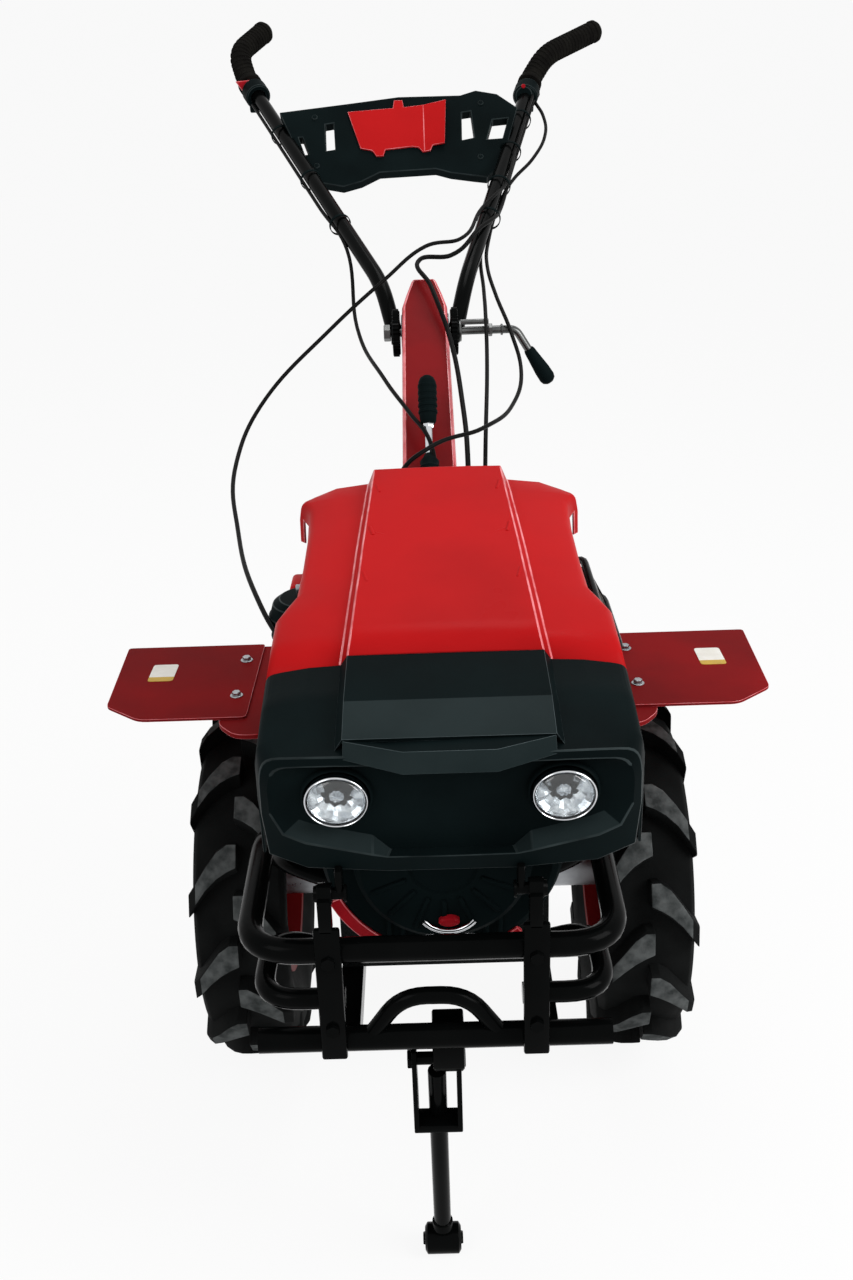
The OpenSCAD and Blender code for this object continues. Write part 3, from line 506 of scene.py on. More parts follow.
def roofSection(back, spineZ, spineHalf, roofZ, half):
    flat = [(0, spineZ + 0.8), (spineHalf * 0.5, spineZ + 0.6), (spineHalf, spineZ), (spineHalf + 6.5, roofZ),
            (half - 40, roofZ - 1.5)]
    turn = roundPath([(half - 17, 0, roofZ - 5), (half - 3, 0, roofZ - 8), (half, 0, roofZ - 26)], 40, 4)
    points = flat + [(p.x, p.z) for p in turn]
    cut = bonnet["cornerCut"].get(back, 0)
    falls = [(x, z, cut * max(0, x - 100)) for x, z in points]
    return [at(x, back - fall, z - 0.25 * fall) for x, z, fall in falls]


def topUp(form):  # an open sheet whose highest face looks upwards
    if max((f.calc_center_median().z, f.normal.z) for f in form.faces)[1] < 0:
        bmesh.ops.reverse_faces(form, faces=form.faces)


def makeShell():
    form = bmesh.new()
    rings = [roofSection(*row) for row in bonnet["sections"]]
    addLoft(form, rings, closed=False)
    flank = []
    for row, ring in zip(bonnet["sections"][:3], rings):
        lean, tall = bonnet["flankLean"].get(row[0], 0), ring[-1].z - bonnet["low"]
        flank.append([ring[-1]] + [ring[-1] + Vector((0.5, -lean * drop, -drop * tall)) for drop in (0.5, 1)])
    addLoft(form, flank, closed=False)
    down = Vector((0.5, 0, -bonnet["tab"]))
    # tabs behind the openings, and the rear lip
    addLoft(form, [[ring[-1], ring[-1] + down] for ring in rings[8:]], closed=False)
    addLoft(form, [rings[-1], [p + Vector((0, 2, -12)) for p in rings[-1]]], closed=False)
    mirrored(form)
    tidyForm(form)
    topUp(form)
    bmesh.ops.translate(form, vec=(bonnet["middle"], 0, 0), verts=form.verts)
    shipPiece(form, "bonnetShell", "redEnamel redEdge", "bonnet_shell", rides="bonnet", crease=30, edge=1.5,
              steps=3, wall=bonnet["wall"], picks=lambda a, b: max(a.y, b.y) > axleY - 311)
    form = bmesh.new()
    front, rear = bonnet["sections"][0], bonnet["sections"][-1]
    slope = (rear[1] - front[1]) / (rear[0] - front[0])
    for ends, middle, wide, narrow in bonnet["chevrons"]:
        onTop = [at(bonnet["middle"] + x, y, front[1] + (y - front[0]) * slope - 1.7)
                 for x, y in ((-wide, ends), (-narrow, middle), (narrow, middle), (wide, ends))]
        addTube(form, onTop, 2.6, bend=9, sides=16)
        for tip, hand in ((onTop[0], -1), (onTop[-1], 1)):
            tick, out = Vector((hand * 3, 13, 13 * slope)), Vector((hand * 3, 0, 0.6))
            addTube(form, [tip - tick * 0.4 + out, tip + tick + out], 2.6, sides=16)
    shipPiece(form, "bonnetChevrons", "redEnamel", rides="bonnet", crease=60)


makeShell()
print("bonnet shell is made")

# black nose of the bonnet: roof and flanks, then a front plate with a sunk lamp face

nose = {
    "roof": ((-313, 622, 158.5), (-360, 612.4, 158.5), (-402, 604, 158)),   # as in the sections above
    "faceY": -427, "low": 494,
    # half outlines of the front plate, from the brow's middle to the chin: across, behind the axle, up
    "browEdge": ((0, -436, 600), (37, -436, 600), (84, -436, 599), (90, -435.5, 598.8), (118, -432.5, 597.6),
                 (134, -428.5, 595.5), (141, -425.5, 593.5), (146, -423, 590.5), (149.5, -421, 586.5),
                 (151.8, -420, 581.5), (153, -419.5, 576), (153.8, -419.5, 569), (154, -420, 540),
                 (150, -421, 503), (118, -433, 496), (64, -437.2, 494.4), (52, -438, 494), (0, -438, 494)),
    "frame": ((0, -440, 592), (37, -440, 592), (84, -439.5, 592), (90, -439, 592), (118, -436, 590.5),
              (131, -432.5, 588.5), (136.5, -430, 586.2), (140.5, -428.3, 583.3), (143.3, -427.2, 579.5),
              (145.2, -426.8, 575), (146.2, -426.8, 570.5), (146.8, -427, 565), (146, -428.5, 545),
              (136, -434, 529), (118, -439, 523.5), (64, -445, 514.5), (52, -446, 513), (0, -446, 512.5)),
    "face": ((0, 588), (37, 588), (84, 588), (90, 588), (113, 587), (119, 585.8), (123, 583.8), (126, 581),
             (128, 577.5), (129.2, 573.5), (129.8, 569), (130, 563), (129.5, 548), (123, 538.5), (112, 534),
             (64, 522), (50, 508.5), (0, 508)),
    "spine": ((-313, 631), (-386, 623), (-427, 609.5), (-426, 606), (-405, 603), (-313, 600)),
    # root, tip and back of the beak's upper and lower outline
    "beak": (((84, -427, 608), (37, -441, 604.5), (68, -411, 606)),
             ((84, -437, 597), (37, -449, 589), (68, -420, 590))),
    "hingeZ": 477, "hingeY": -442,
    # behind the axle: the joint with the shell, and a strip level with the lamp face, where edges stay sharp
    "joint": -314, "sharpStrip": (-428, -426.5),
}


def noseRoof(back, roofZ, half, forward=0):
    ring = roofSection(back, roofZ, 90, roofZ, half)
    ring = [at(x, back, roofZ + 0.4) for x in (0, 37, 84)] + ring[3:]
    ring[3].x = 90
    for point in ring:
        reach = forward * (1 - max(0, (point.x - 90) / (half - 90)) ** 2)
        point.y -= reach
        point.z -= reach * 0.2
    low = ring[-1]
    return ring + [Vector((low.x + 0.5, low.y, 540)), Vector((low.x, low.y, nose["low"]))]


def roundedOnNose(a, b):
    low, high = (axleY + y for y in nose["sharpStrip"])
    outside = (a.y > high or a.y < low) and a.y < axleY + nose["joint"]
    return outside or b.y < axleY + nose["faceY"] - 2.5


def makeNose():
    form = bmesh.new()
    rings = [noseRoof(*row) for row in nose["roof"]]
    rings.append(noseRoof(*nose["roof"][-1], forward=18))
    rings[-1] = [p + Vector((0, -1.5, -0.4)) for p in rings[-1]]
    addLoft(form, rings, closed=False)
    outline = rings[-1] + [at(x, -424, 498) for x in (118, 64, 52, 0)]
    outline[-5] = at(152, -405, 496)
    rings[-1][-1] = outline[-5]
    edge, crest = ([at(*p) for p in nose[key]] for key in ("browEdge", "frame"))
    face = [at(x, nose["faceY"], z) for x, z in nose["face"]]
    addLoft(form, [outline, edge, crest, face], closed=False)
    mirrored(form)
    tidyForm(form)
    flat = axleY + nose["faceY"]
    border = [e for e in form.edges if e.is_boundary and all(abs(v.co.y - flat) < 0.1 for v in e.verts)]
    bmesh.ops.contextual_create(form, geom=border)
    faceOut(form)
    topUp(form)
    for face in form.faces:  # the lip's two lower facets face upwards and get a paler look, painted light
        spot = face.calc_center_median()
        lip = abs(spot.x) > 57 and spot.z < 537 and -445 < spot.y - axleY < -428 and face.normal.z > 0.3
        face.material_index = 2 if lip else 0
    bmesh.ops.translate(form, vec=(bonnet["middle"], 0, 0), verts=form.verts)
    shipPiece(form, "bonnetNose", "blackAbs blackEdge satinAbs", "bonnet_front", rides="bonnet", crease=26,
              edge=2.2, steps=3, wall=bonnet["wall"], picks=roundedOnNose)
    form = bmesh.new()
    # the spine runs on over the roof and ends in an overhang
    rings = [[at(x, y, z) for y, z in nose["spine"]] for x in (-91, -84.5, 84.5, 91)]
    for ring in (rings[0], rings[3]):
        for k, drop in enumerate((9.5, 15, 10)):
            ring[k].z -= drop
        ring[2].y += 1
        ring[3].z -= 7
    addLoft(form, rings, caps=True)
    outlines = []
    for root, tip, back in nose["beak"]:
        ends = ((-1, root), (-1, tip), (1, tip), (1, root), (1, back), (-1, back))
        outlines.append([at(hand * x, y, z) for hand, (x, y, z) in ends])
    addLoft(form, outlines, caps=True)
    faceOut(form)
    for face in form.faces:  # end band and the beak's front facets get a paler look, painted light
        spot = face.calc_center_median()
        band = face.normal.z > 0.5 and -427 < spot.y - axleY < -388 and spot.z > 610
        face.material_index = 2 if band or (face.normal.y < -0.5 and spot.z < 603) else 0
    bmesh.ops.translate(form, vec=(bonnet["middle"], 0, 0), verts=form.verts)
    shipPiece(form, "bonnetBeak", "blackAbs paleAbs satinAbs", rides="bonnet", crease=18, edge=1.9, steps=3)
    form = bmesh.new()
    for hand in (-1, 1):  # hinge blocks and pins, in the guard's middle
        x, y, z = guard["plateX"] + 1, axleY + nose["hingeY"], nose["hingeZ"]
        spread = sorted(guard["middle"] + hand * (x - inward) for inward in (16, 10))
        addBlock(form, (spread[0], y - 4, z), (spread[1], y + 14, 500), edge=1.5)
        pin = [(-18, 0), (-18, 7), (-16, 7.5), (-16, 5), (6, 5), (6, 7.5), (9, 6.5), (9, 0)]
        addTurned(form, [(guard["middle"] + hand * (x - 1 + a), r) for a, r in pin], (0, y, z), steps=24)
    faceOut(form)
    shipPiece(form, "bonnetHinge", "blackPowder", rides="bonnet", crease=40)


guard = {
    "middle": -11, "half": 156, "barZ": 418, "barY": -438, "tube": 11, "loopTube": 9.2, "loopZ": 369,
    "lowZ": 326, "plateX": 86,
}
makeNose()

lamp = {"radius": 24.8, "gap": 181, "height": 560.5, "front": -439, "flat": 0.88}


def makeLamp(side, hand):
    spot = at(bonnet["middle"] - 0.5 + hand * lamp["gap"] / 2, lamp["front"], lamp["height"])
    r = lamp["radius"]
    rings = (  # name, look, slot, replaced node, crease, steps, profile from the front backwards
        ("lampSocket", "blackAbs", None, "", 60, 56,
         [(12, r + 4.5), (6, r + 4), (5.2, r + 2.6), (7, r + 1.5), (13, r + 1.2)]),
        ("lampRim", "chrome", None, f"headlamp_{side.lower()}", 60, 56,
         [(13, r + 0.5), (2, r + 1.2), (-1.2, r + 0.9), (-1.8, r), (-1.2, r - 0.9), (3, r - 1.6)]),
        ("lampMirror", "mirrorBowl", None, "", 3, 30,
         [(2.5, r - 2), (5, 21.5), (7.4, 18.6), (9.2, 15.5), (12.5, 11), (14.5, 6.5), (9, 6), (7, 4.5),
          (6.4, 0)]),
        ("lampLens", "lampGlass", "lamp_glass", "", 60, 56,
         [(1.4, r - 1.8), (-0.6, r - 2.6), (-2.6, 18), (-4.0, 11), (-4.6, 4), (-4.7, 0), (-3.2, 0),
          (-2.4, 10), (-1, 17), (1, r - 3.6), (1.4, r - 1.8)]),
    )
    for name, look, slot, stands, crease, steps, profile in rings:
        form = bmesh.new()
        addTurned(form, profile, spot, axis="Y", steps=steps)
        tidyForm(form)
        for vert in form.verts if look == "mirrorBowl" else ():  # small facets pressed into the mirror
            out = (vert.co - spot).length
            if 8 < out < 23:
                turn = math.atan2(vert.co.z - spot.z, vert.co.x - spot.x)
                vert.co.y += 1.1 * math.sin(9 * turn + out * 0.3)
        bmesh.ops.scale(form, vec=(1, 1, lamp["flat"]), space=Matrix.Translation(-spot), verts=form.verts)
        shipPiece(form, f"{name}{side}", look, stands, rides="bonnet", crease=crease)


for side, hand in (("Left", 1), ("Right", -1)):
    makeLamp(side, hand)
print("bonnet nose and lamps are made")

# guard: bent tube, loops and plates


def makeGuard():
    m, half, y, r = guard["middle"], guard["half"], axleY + guard["barY"], guard["tube"]
    low, loopZ, loopX = guard["lowZ"], guard["loopZ"], guard["half"] - 9
    form = bmesh.new()
    route = [(-86, axleY - 190, 316), (-half - 5, axleY - 190, 350), (-half - 5, axleY - 240, 412),
             (-half, y, guard["barZ"])]
    both = [(m + x, b, c) for x, b, c in route] + [(m - x, b, c) for x, b, c in reversed(route)]
    addTube(form, both, r, bend=46, steps=8)
    shipPiece(form, "guardTopTube", "blackPowder", "bumper_top", crease=50)
    form = bmesh.new()
    for hand in (-1, 1):
        loop = [(75, y, loopZ), (loopX, y, loopZ), (loopX, y + 92, loopZ - 3), (86, y + 136, 318)]
        addTube(form, [(m + hand * x, b, c) for x, b, c in loop], guard["loopTube"], bend=36, steps=8)
    shipPiece(form, "guardLoops", "blackPowder", "bumper_loops", crease=50)
    form = bmesh.new()
    addTube(form, [(m - 152, y, low), (m + 152, y, low)], r, sides=24)
    addBlock(form, (-14, y, 288), (14, axleY - 402, low), edge=2)
    addTurned(form, [(-14, 0), (-14, 10), (-12, 12), (12, 12), (14, 10), (14, 0)], at(0, -414, 281), steps=32)
    shipPiece(form, "guardLowTube", "blackPowder", "bumper_bottom", crease=40)
    form = bmesh.new()
    addTube(form, [(m - 56, y, low + 2), (m - 28, y, loopZ), (m + 28, y, loopZ), (m + 56, y, low + 2)], 7.5,
            bend=22)
    shipPiece(form, "towArch", "blackPowder", "tow_arch", crease=50)
    form = bmesh.new()
    for hand in (-1, 1):
        x, front = m + hand * guard["plateX"], y - r - 6
        ear = at(x, nose["hingeY"], nose["hingeZ"])
        addBlock(form, (x - 11, front, low - 9), (x + 11, front + 6, 450), edge=2)
        addBlock(form, (x - 6, front, 446), (x + 5, ear.y, ear.z), edge=1)
        addTurned(form, [(-6, 5.4), (-6, 8.6), (-5.4, 9), (5.4, 9), (6, 8.6), (6, 5.4), (-6, 5.4)], ear,
                  steps=32)
        for z in (349, 418):  # bolt heads
            addTurned(form, [(-3.5, 0), (-3.5, 6), (-0.4, 6.6), (0, 0)], (x, front, z), axis="Y", steps=6)
    tidyForm(form)
    shipPiece(form, "guardPlates", "blackPowder", "bumper_plates", crease=30)


makeGuard()
print("guard is made")

# prop stand: slotted yoke, leg and foot

stand = {
    "middle": -11, "y": -414, "z": 281, "lean": 44, "plateX": 17.5, "plate": 4.5,
    "outline": ((-13, -70), (13, -70), (13, 4), (7, 12), (-7, 12), (-13, 4)),
    "slot": ((-6.5, -60), (6.5, -60), (6.5, -18), (-6.5, -18)),
}


def corners(geom):
    return [g for g in geom if isinstance(g, bmesh.types.BMVert)]


def addPierced(form, outline, thick, holes=(), flat=(0, 0, 1)):
    # a plate with holes: outlines are filled together and given their thickness along flat
    edges = addRing(form, outline)
    for hole in holes:
        edges += addRing(form, hole)
    made = bmesh.ops.triangle_fill(form, edges=edges, use_beauty=True, use_dissolve=False)["geom"]
    faces = [g for g in made if isinstance(g, bmesh.types.BMFace)]
    made = bmesh.ops.extrude_face_region(form, geom=faces, use_keep_orig=True)["geom"]
    bmesh.ops.translate(form, vec=Vector(flat) * thick, verts=corners(made))


def cutAcross(form, place, normal):  # a line of new edges, for a fold or a change of look
    bmesh.ops.bisect_plane(form, geom=form.verts[:] + form.edges[:] + form.faces[:], dist=0.001,
                           plane_co=place, plane_no=normal)


def makeStand():
    m, y, z = stand["middle"], axleY + stand["y"], stand["z"]
    form = bmesh.new()
    for hand in (-1, 1):
        x = m + hand * stand["plateX"]
        outline, slot = ([(x, y + a, z + b) for a, b in stand[key]] for key in ("outline", "slot"))
        addPierced(form, outline, stand["plate"], [slot], (hand, 0, 0))
        addBolt(form, (m, y, z), 21, 25.5, 26, 9, 8, hand=hand)
    addBlock(form, (m - 22, y - 12, z - 76), (m + 22, y + 12, z - 68), edge=1)
    addTurned(form, [(-25, 0), (-25, 5.8), (25, 5.8), (25, 0)], (m, y, z), steps=28)
    tidyForm(form)
    shipPiece(form, "standYoke", "blackPowder", "stand_yoke", rides="stand", crease=30, edge=0.8)
    form = bmesh.new()
    foot = y + stand["lean"]
    addTube(form, [(m, y + 1, z - 15), (m, y + 9, z - 76), (m, foot, 24)], 8.4, bend=10, sides=24)
    addTurned(form, [(-3, 8.6), (-2.4, 10.8), (2.4, 10.8), (3, 8.6)], (m, y + 10, z - 81), axis="Z", steps=24)
    addTurned(form, [(-5, 8.6), (-4, 10.2), (4, 10.2), (5, 8.6)], (m, foot - 3, 38), axis="Z", steps=24)
    shipPiece(form, "standLeg", "blackPowder", "stand_leg", rides="stand", crease=40)
    form = bmesh.new()
    addTurned(form, [(-18, 0), (-18, 11), (-15.5, 15), (15.5, 15), (18, 11), (18, 0)], (m, foot, 15),
              steps=36)
    addTurned(form, [(-20, 0), (-20, 6), (-18, 6.5), (18, 6.5), (20, 6), (20, 0)], (m, foot, 15), steps=6)
    tidyForm(form)
    shipPiece(form, "standFoot", "blackPowder", "stand_foot", rides="stand", crease=30, edge=0.6)


makeStand()
print("stand is made")

# handlebar: two tubes that spread and lean a little, serrated discs, grips, panel

bar = {
    "pivotY": 415, "pivotZ": 775, "discIn": 33.3, "teeth": 36,
    "lug": (57.3, 475, 831), "half": 229, "swing": -45, "back": 985, "topZ": 1078,
    "tube": 10.8, "grip": 17,
    "bendRight": (-20, 35, 48), "tipRight": (40, 53, 33),
    "bendLeft": (29, 35, 43), "tipLeft": (87, 53, 35),
}


def tubeEnd(hand):
    return at(hand * bar["half"] + bar["swing"], bar["back"], bar["topZ"] - 7 * hand)


def tubeLug(hand):
    return at(hand * bar["lug"][0], *bar["lug"][1:])


def tubeRun(hand):
    return (tubeEnd(hand) - tubeLug(hand)).normalized()


def makeHandleTube(side, hand):
    form = bmesh.new()
    start = at(hand * (bar["discIn"] + 8), bar["pivotY"] + 4, bar["pivotZ"] + 2)
    addTube(form, [start, tubeLug(hand), tubeEnd(hand)], bar["tube"], bend=34, sides=24, steps=8)
    # serrated clamp disc
    pivot, x0, teeth = at(0, bar["pivotY"], bar["pivotZ"]), bar["discIn"], bar["teeth"] * 2
    profile = [(x0 + 3, 0), (x0, 27.5), (x0 + 1.5, 29), (x0 + 1.5, 31), (x0 + 9, 31), (x0 + 10, 29.5),
               (x0 + 10, 16), (x0 + 12, 15), (x0 + 12, 0)]
    for vert in addTurned(form, profile, pivot, steps=teeth, hand=hand):
        off = Vector((0, vert.co.y - pivot.y, vert.co.z - pivot.z))
        if off.length > 27 and round(math.atan2(off.y, off.z) / math.tau * teeth) % 2:
            vert.co -= off * 0.045
    tidyForm(form)
    shipPiece(form, f"handleTube{side}", "blackPowder", f"handle_tube_{side.lower()}", rides="handlebar",
              crease=35)
    form = bmesh.new()
    end, bendTo, tipTo = tubeEnd(hand), Vector(bar[f"bend{side}"]), Vector(bar[f"tip{side}"])
    route = roundPath([end, end + tubeRun(hand) * 20, end + bendTo, end + bendTo + tipTo], 34, 8)
    addTube(form, route, bar["grip"] - 0.6, sides=24)
    # end collars and moulded finger rings
    head, tail = (route[1] - route[0]).normalized(), (route[-1] - route[-2]).normalized()
    addTurned(form, [(-7, 12.6), (-7, 18.5), (-5.5, 19.6), (3, 19.6), (5, 18), (5, 12.6)], route[0],
              axis=head, steps=32)
    addTurned(form, [(-7, 16.5), (-6, 18), (0, 17.4), (5, 13.5), (7, 7), (7.5, 0)], route[-1], axis=tail,
              steps=32)
    lengths = [0]
    for a, b in zip(route, route[1:]):
        lengths.append(lengths[-1] + (b - a).length)
    spot = 14
    while spot < lengths[-1] - 10:
        k = next(i for i, total in enumerate(lengths) if total > spot) - 1
        heading = (route[k + 1] - route[k]).normalized()
        addTurned(form, [(-2, 16.2), (-1.2, 17.3), (1.2, 17.3), (2, 16.2)],
                  route[k] + heading * (spot - lengths[k]), axis=heading, steps=28)
        spot += 6.5
    faceOut(form)
    shipPiece(form, f"handGrip{side}", "gripFoam", f"grip_{side.lower()}", rides="handlebar", crease=40)


for side, hand in (("Left", 1), ("Right", -1)):
    makeHandleTube(side, hand)

# control panel between the tubes

panel = {
    "back": 800, "z": 985, "tilt": 50, "middle": -25, "thick": 17,
    "outline": ((-143, -49), (-125, -60), (-92, -68), (-64, -60), (-36, -45), (49, -42), (72, -50),
                (109, -57), (127, -60), (152, -37), (166, 21), (178, 64), (148, 90), (115, 98), (91, 90),
                (-5, 91), (-81, 82), (-190, 70)),
    "holes": (((-118, -3), (-104, -1), (-106, 47), (-119, 45)),
              ((-174, 24), (-166, 24), (-155, -12), (-161, -12)),
              ((-160, 23), (-154, 23), (-144, -8), (-150, -9)), ((91, 8), (110, 12), (106, 60), (92, 58)),
              ((129, 8), (153, 9), (163, 45), (139, 43))),
    "plate": ((-65, -3), (-47, -8), (-41, -18), (-30, -18), (-27, -7), (14, -3), (24, -5), (30, -13),
              (42, -12), (46, -3), (64, -2), (68, 76), (3, 69), (1, 82), (-12, 82), (-14, 68), (-84, 64)),
    "fold": 33,
}


def panelPlace(form):
    turn = Matrix.Translation(at(panel["middle"], panel["back"], panel["z"]))
    turn = turn @ Matrix.Rotation(math.radians(panel["tilt"]), 4, "X")
    bmesh.ops.transform(form, matrix=turn, verts=form.verts)


def makePanel():
    form = bmesh.new()
    half = panel["thick"] / 2
    holes = [[(x, y, -half) for x, y in hole] for hole in panel["holes"]]
    addPierced(form, [(x, y, -half) for x, y in panel["outline"]], panel["thick"], holes)
    tidyForm(form)
    for x, y in ((-135, 58), (122, 74), (118, -24), (-132, -30)):  # screws
        addTurned(form, [(half - 1, 0), (half - 1, 5), (half + 1.6, 4.6), (half + 2.2, 3), (half + 2.2, 0)],
                  (x, y, 0), axis="Z", steps=16)
    faceOut(form)
    panelPlace(form)
    shipPiece(form, "controlPanel", "blackAbs blackEdge", "handle_panel", rides="handlebar", crease=30,
              edge=1.6)
    form = bmesh.new()
    addPierced(form, [(x, y, half) for x, y in panel["plate"]], 3.4)
    tidyForm(form)
    cutAcross(form, (panel["fold"], 0, 0), (1, 0, 0))
    for vert in form.verts:  # the plate is bent forward a little at its right
        vert.co.z += 0.16 * max(0, vert.co.x - panel["fold"])
    panelPlace(form)
    shipPiece(form, "panelRedPlate", "redEnamel redEdge", "panel_plate", rides="handlebar", crease=6,
              edge=0.7)


makePanel()
print("handlebar is made")

# fenders with their brackets, bolts and blank labels

fender = {
    "z": 482, "sheet": 3,
    "outline": ((198, 57), (198, -131), (310, -131), (350, -97), (357, 57)), "round": (4, 6, 9, 7, 5),
    "bracket": ((178, 57), (178, -166), (206, -166), (226, -140), (226, 57)),
    "bracketRound": (4, 8, 12, 10, 4),
    "bolts": ((214, 12), (214, -80)), "strut": (96, 224, -129, -99),
    "label": (304, -16, 28, 44),    # across and behind the axle, width, length
}


def roundOutline(points, bends, steps=4):  # a closed outline with each corner turned to an arc
    spots = [Vector((x, y, 0)) for x, y in points]
    path = []
    for k, (here, bend) in enumerate(zip(spots, bends)):
        path += roundPath([spots[k - 1], here, spots[(k + 1) % len(spots)]], bend, steps)[1:-1]
    return path


def makeFender(side, hand):
    flat, top = fender["z"], fender["z"] + fender["sheet"]
    sheets = (("Sheet", "outline", "round", flat, fender["sheet"], "fender", 0.8),
              ("Bracket", "bracket", "bracketRound", flat - 5, 5, "fender_bracket", 0.9))
    for name, outline, bends, z, thick, stands, edge in sheets:
        form = bmesh.new()
        addPierced(form, [at(hand * p.x, p.y, z) for p in roundOutline(fender[outline], fender[bends])],
                   thick)
        if name == "Bracket":
            x0, x1, y0, y1 = fender["strut"]
            low, high = sorted((hand * x0, hand * x1))
            addBlock(form, at(low, y0, flat - 12), at(high, y1, flat - 5), edge=1)
        tidyForm(form)
        shipPiece(form, f"fender{name}{side}", "fenderEnamel redEdge", f"{stands}_{side.lower()}", crease=40,
                  edge=edge)
    form = bmesh.new()
    for x, y in fender["bolts"]:
        addBolt(form, at(hand * x, y, top), -0.5, 0.8, 1.2, 7, 6.4, axis="Z", steps=24)
        addBolt(form, at(hand * x, y, top), 1, 4.4, 5.2, 4.8, 4, axis="Z")
    tidyForm(form)
    shipPiece(form, f"fenderBolts{side}", "zincSteel", crease=30, edge=0.3)
    form = bmesh.new()
    x, y, wide, long = fender["label"]
    outline = roundOutline([(a * wide, b * long) for a, b in ((-.5, -.5), (.5, -.5), (.5, .5), (-.5, .5))],
                           [4] * 4, 3)
    addPierced(form, [at(hand * x + p.x, y + p.y, top) for p in outline], 0.4)
    tidyForm(form)
    band = axleY + y - long / 2 + 11
    cutAcross(form, (0, band, 0), (0, 1, 0))
    for face in form.faces:
        face.material_index = int(face.calc_center_median().y < band)
    shipPiece(form, f"fenderLabel{side}", "labelWhite labelYellow")


for side, hand in (("Left", 1), ("Right", -1)):
    makeFender(side, hand)
print("fenders are made")

# column, gear lever, clamp crank

column = {
    "top": 839, "end": 461, "rise": 0.63,
    # behind the axle, lower edge, half width
    "sections": ((62, 554, 33), (118, 554, 33), (415, 723.6, 30), (435, 735, 24.5), (461, 789, 16)),
}


def columnFace(back):
    return column["top"] - (column["end"] - back) * column["rise"]


def makeColumn():
    form = bmesh.new()
    rings = [[at(-half, back, columnFace(back)), at(half, back, columnFace(back)), at(half, back, low),
              at(-half, back, low)] for back, low, half in column["sections"]]
    addLoft(form, rings, caps=True)
    tidyForm(form)
    under = [f for f in form.faces if f.normal.z < -0.5 and 120 < f.calc_center_median().y - axleY < 416]
    bmesh.ops.inset_region(form, faces=under, thickness=7, depth=-24)
    shipPiece(form, "columnBeam", "columnEnamel redEdge", "column", crease=30, edge=4.5, steps=3)
    pivot = at(0, bar["pivotY"], bar["pivotZ"])
    form = bmesh.new()
    for hand in (-1, 1):  # washers under the clamp discs, and the bolts of the foot
        addTurned(form, [(28, 0), (28, 24), (31.5, 23), (31.5, 0)], pivot, steps=32, hand=hand)
        for back, z in ((78, 572), (104, 566), (104, 590)):
            addBolt(form, at(0, back, z), 32, 37, 38, 7, 6, hand=hand)
    tidyForm(form)
    shipPiece(form, "columnBolts", "zincSteel", crease=30, edge=0.4)
    foot, knee, tip = at(0, 132, columnFace(132) + 17.8), at(0, 200, 700), at(0, 232, 752)
    run = (tip - knee).normalized()
    form = bmesh.new()
    addTube(form, [foot, knee, tip], 4.6, bend=20)
    addTurned(form, [(-2, 0), (-2, 6.4), (0, 7), (5, 7), (7, 6.4), (7, 0)], knee, axis=run, steps=6)
    shipPiece(form, "gearRod", "chrome", "gear_lever", crease=40)
    form = bmesh.new()
    addTurned(form, [(4, 0), (4, 8), (7, 9.6), (14, 10.4), (30, 10.8), (48, 11.2), (56, 10.6), (61, 8.4),
                     (64, 4.5), (65, 0)], knee, axis=run, steps=32)
    for low in range(16, 56, 8):
        addTurned(form, [(low, 10.2), (low + 1, 11.6), (low + 4, 11.6), (low + 5, 10.2)], knee, axis=run,
                  steps=32)
    folds = [(-14, 22), (-9, 21), (-5, 16.5), (0, 18.5), (5, 14), (10, 16), (15, 11.5), (20, 13.5), (25, 10),
             (31, 11.5), (37, 8), (42, 6), (43, 4)]
    addTurned(form, folds, foot, axis=(knee - foot).normalized(), steps=32)  # bellows
    faceOut(form)
    shipPiece(form, "gearGrip", "blackAbs", crease=50)
    form = bmesh.new()
    y, z = pivot.yz
    addTube(form, [(-46, y, z), (120, y, z), (136, y, z - 26), (140, y, z - 32)], 5.4, bend=9)
    addTube(form, [(47, y - 4, z + 12), (84, y - 4, z + 12)], 3.6, sides=16)
    for x, wide, r, steps in ((-55, 9, 11, 6), (44, 4, 14, 28), (84, 5, 8.5, 6), (100, 3, 7.5, 24)):
        addTurned(form, [(0, 0), (0, r - 0.8), (0.8, r), (wide - 0.8, r), (wide, r - 0.8), (wide, 0)],
                  (x, y, z), steps=steps)
    tidyForm(form)
    shipPiece(form, "crankRod", "darkSteel", "clamp_crank", rides="handlebar", crease=40)
    form = bmesh.new()
    start, end = Vector((137, y, z - 27)), Vector((166, y, z - 72))
    addTurned(form, [(0, 0), (0, 6.4), (3, 7.4), (14, 8.4), (34, 10.4), (46, 10.6), (51, 9), (54, 5),
                     (54.5, 0)],
              start, axis=(end - start).normalized(), steps=32)
    tidyForm(form)
    shipPiece(form, "crankGrip", "blackAbs", rides="handlebar", crease=40)


makeColumn()
print("column and levers are made")

# hand levers: clamp, blade and a small switch on each

handLever = {
    "back": 34, "clamp": 20.5, "width": 13,
    "blade": ((0, -6, -22), (5, 14, -26), (12, 42, -16), (22, 74, -2)),
}


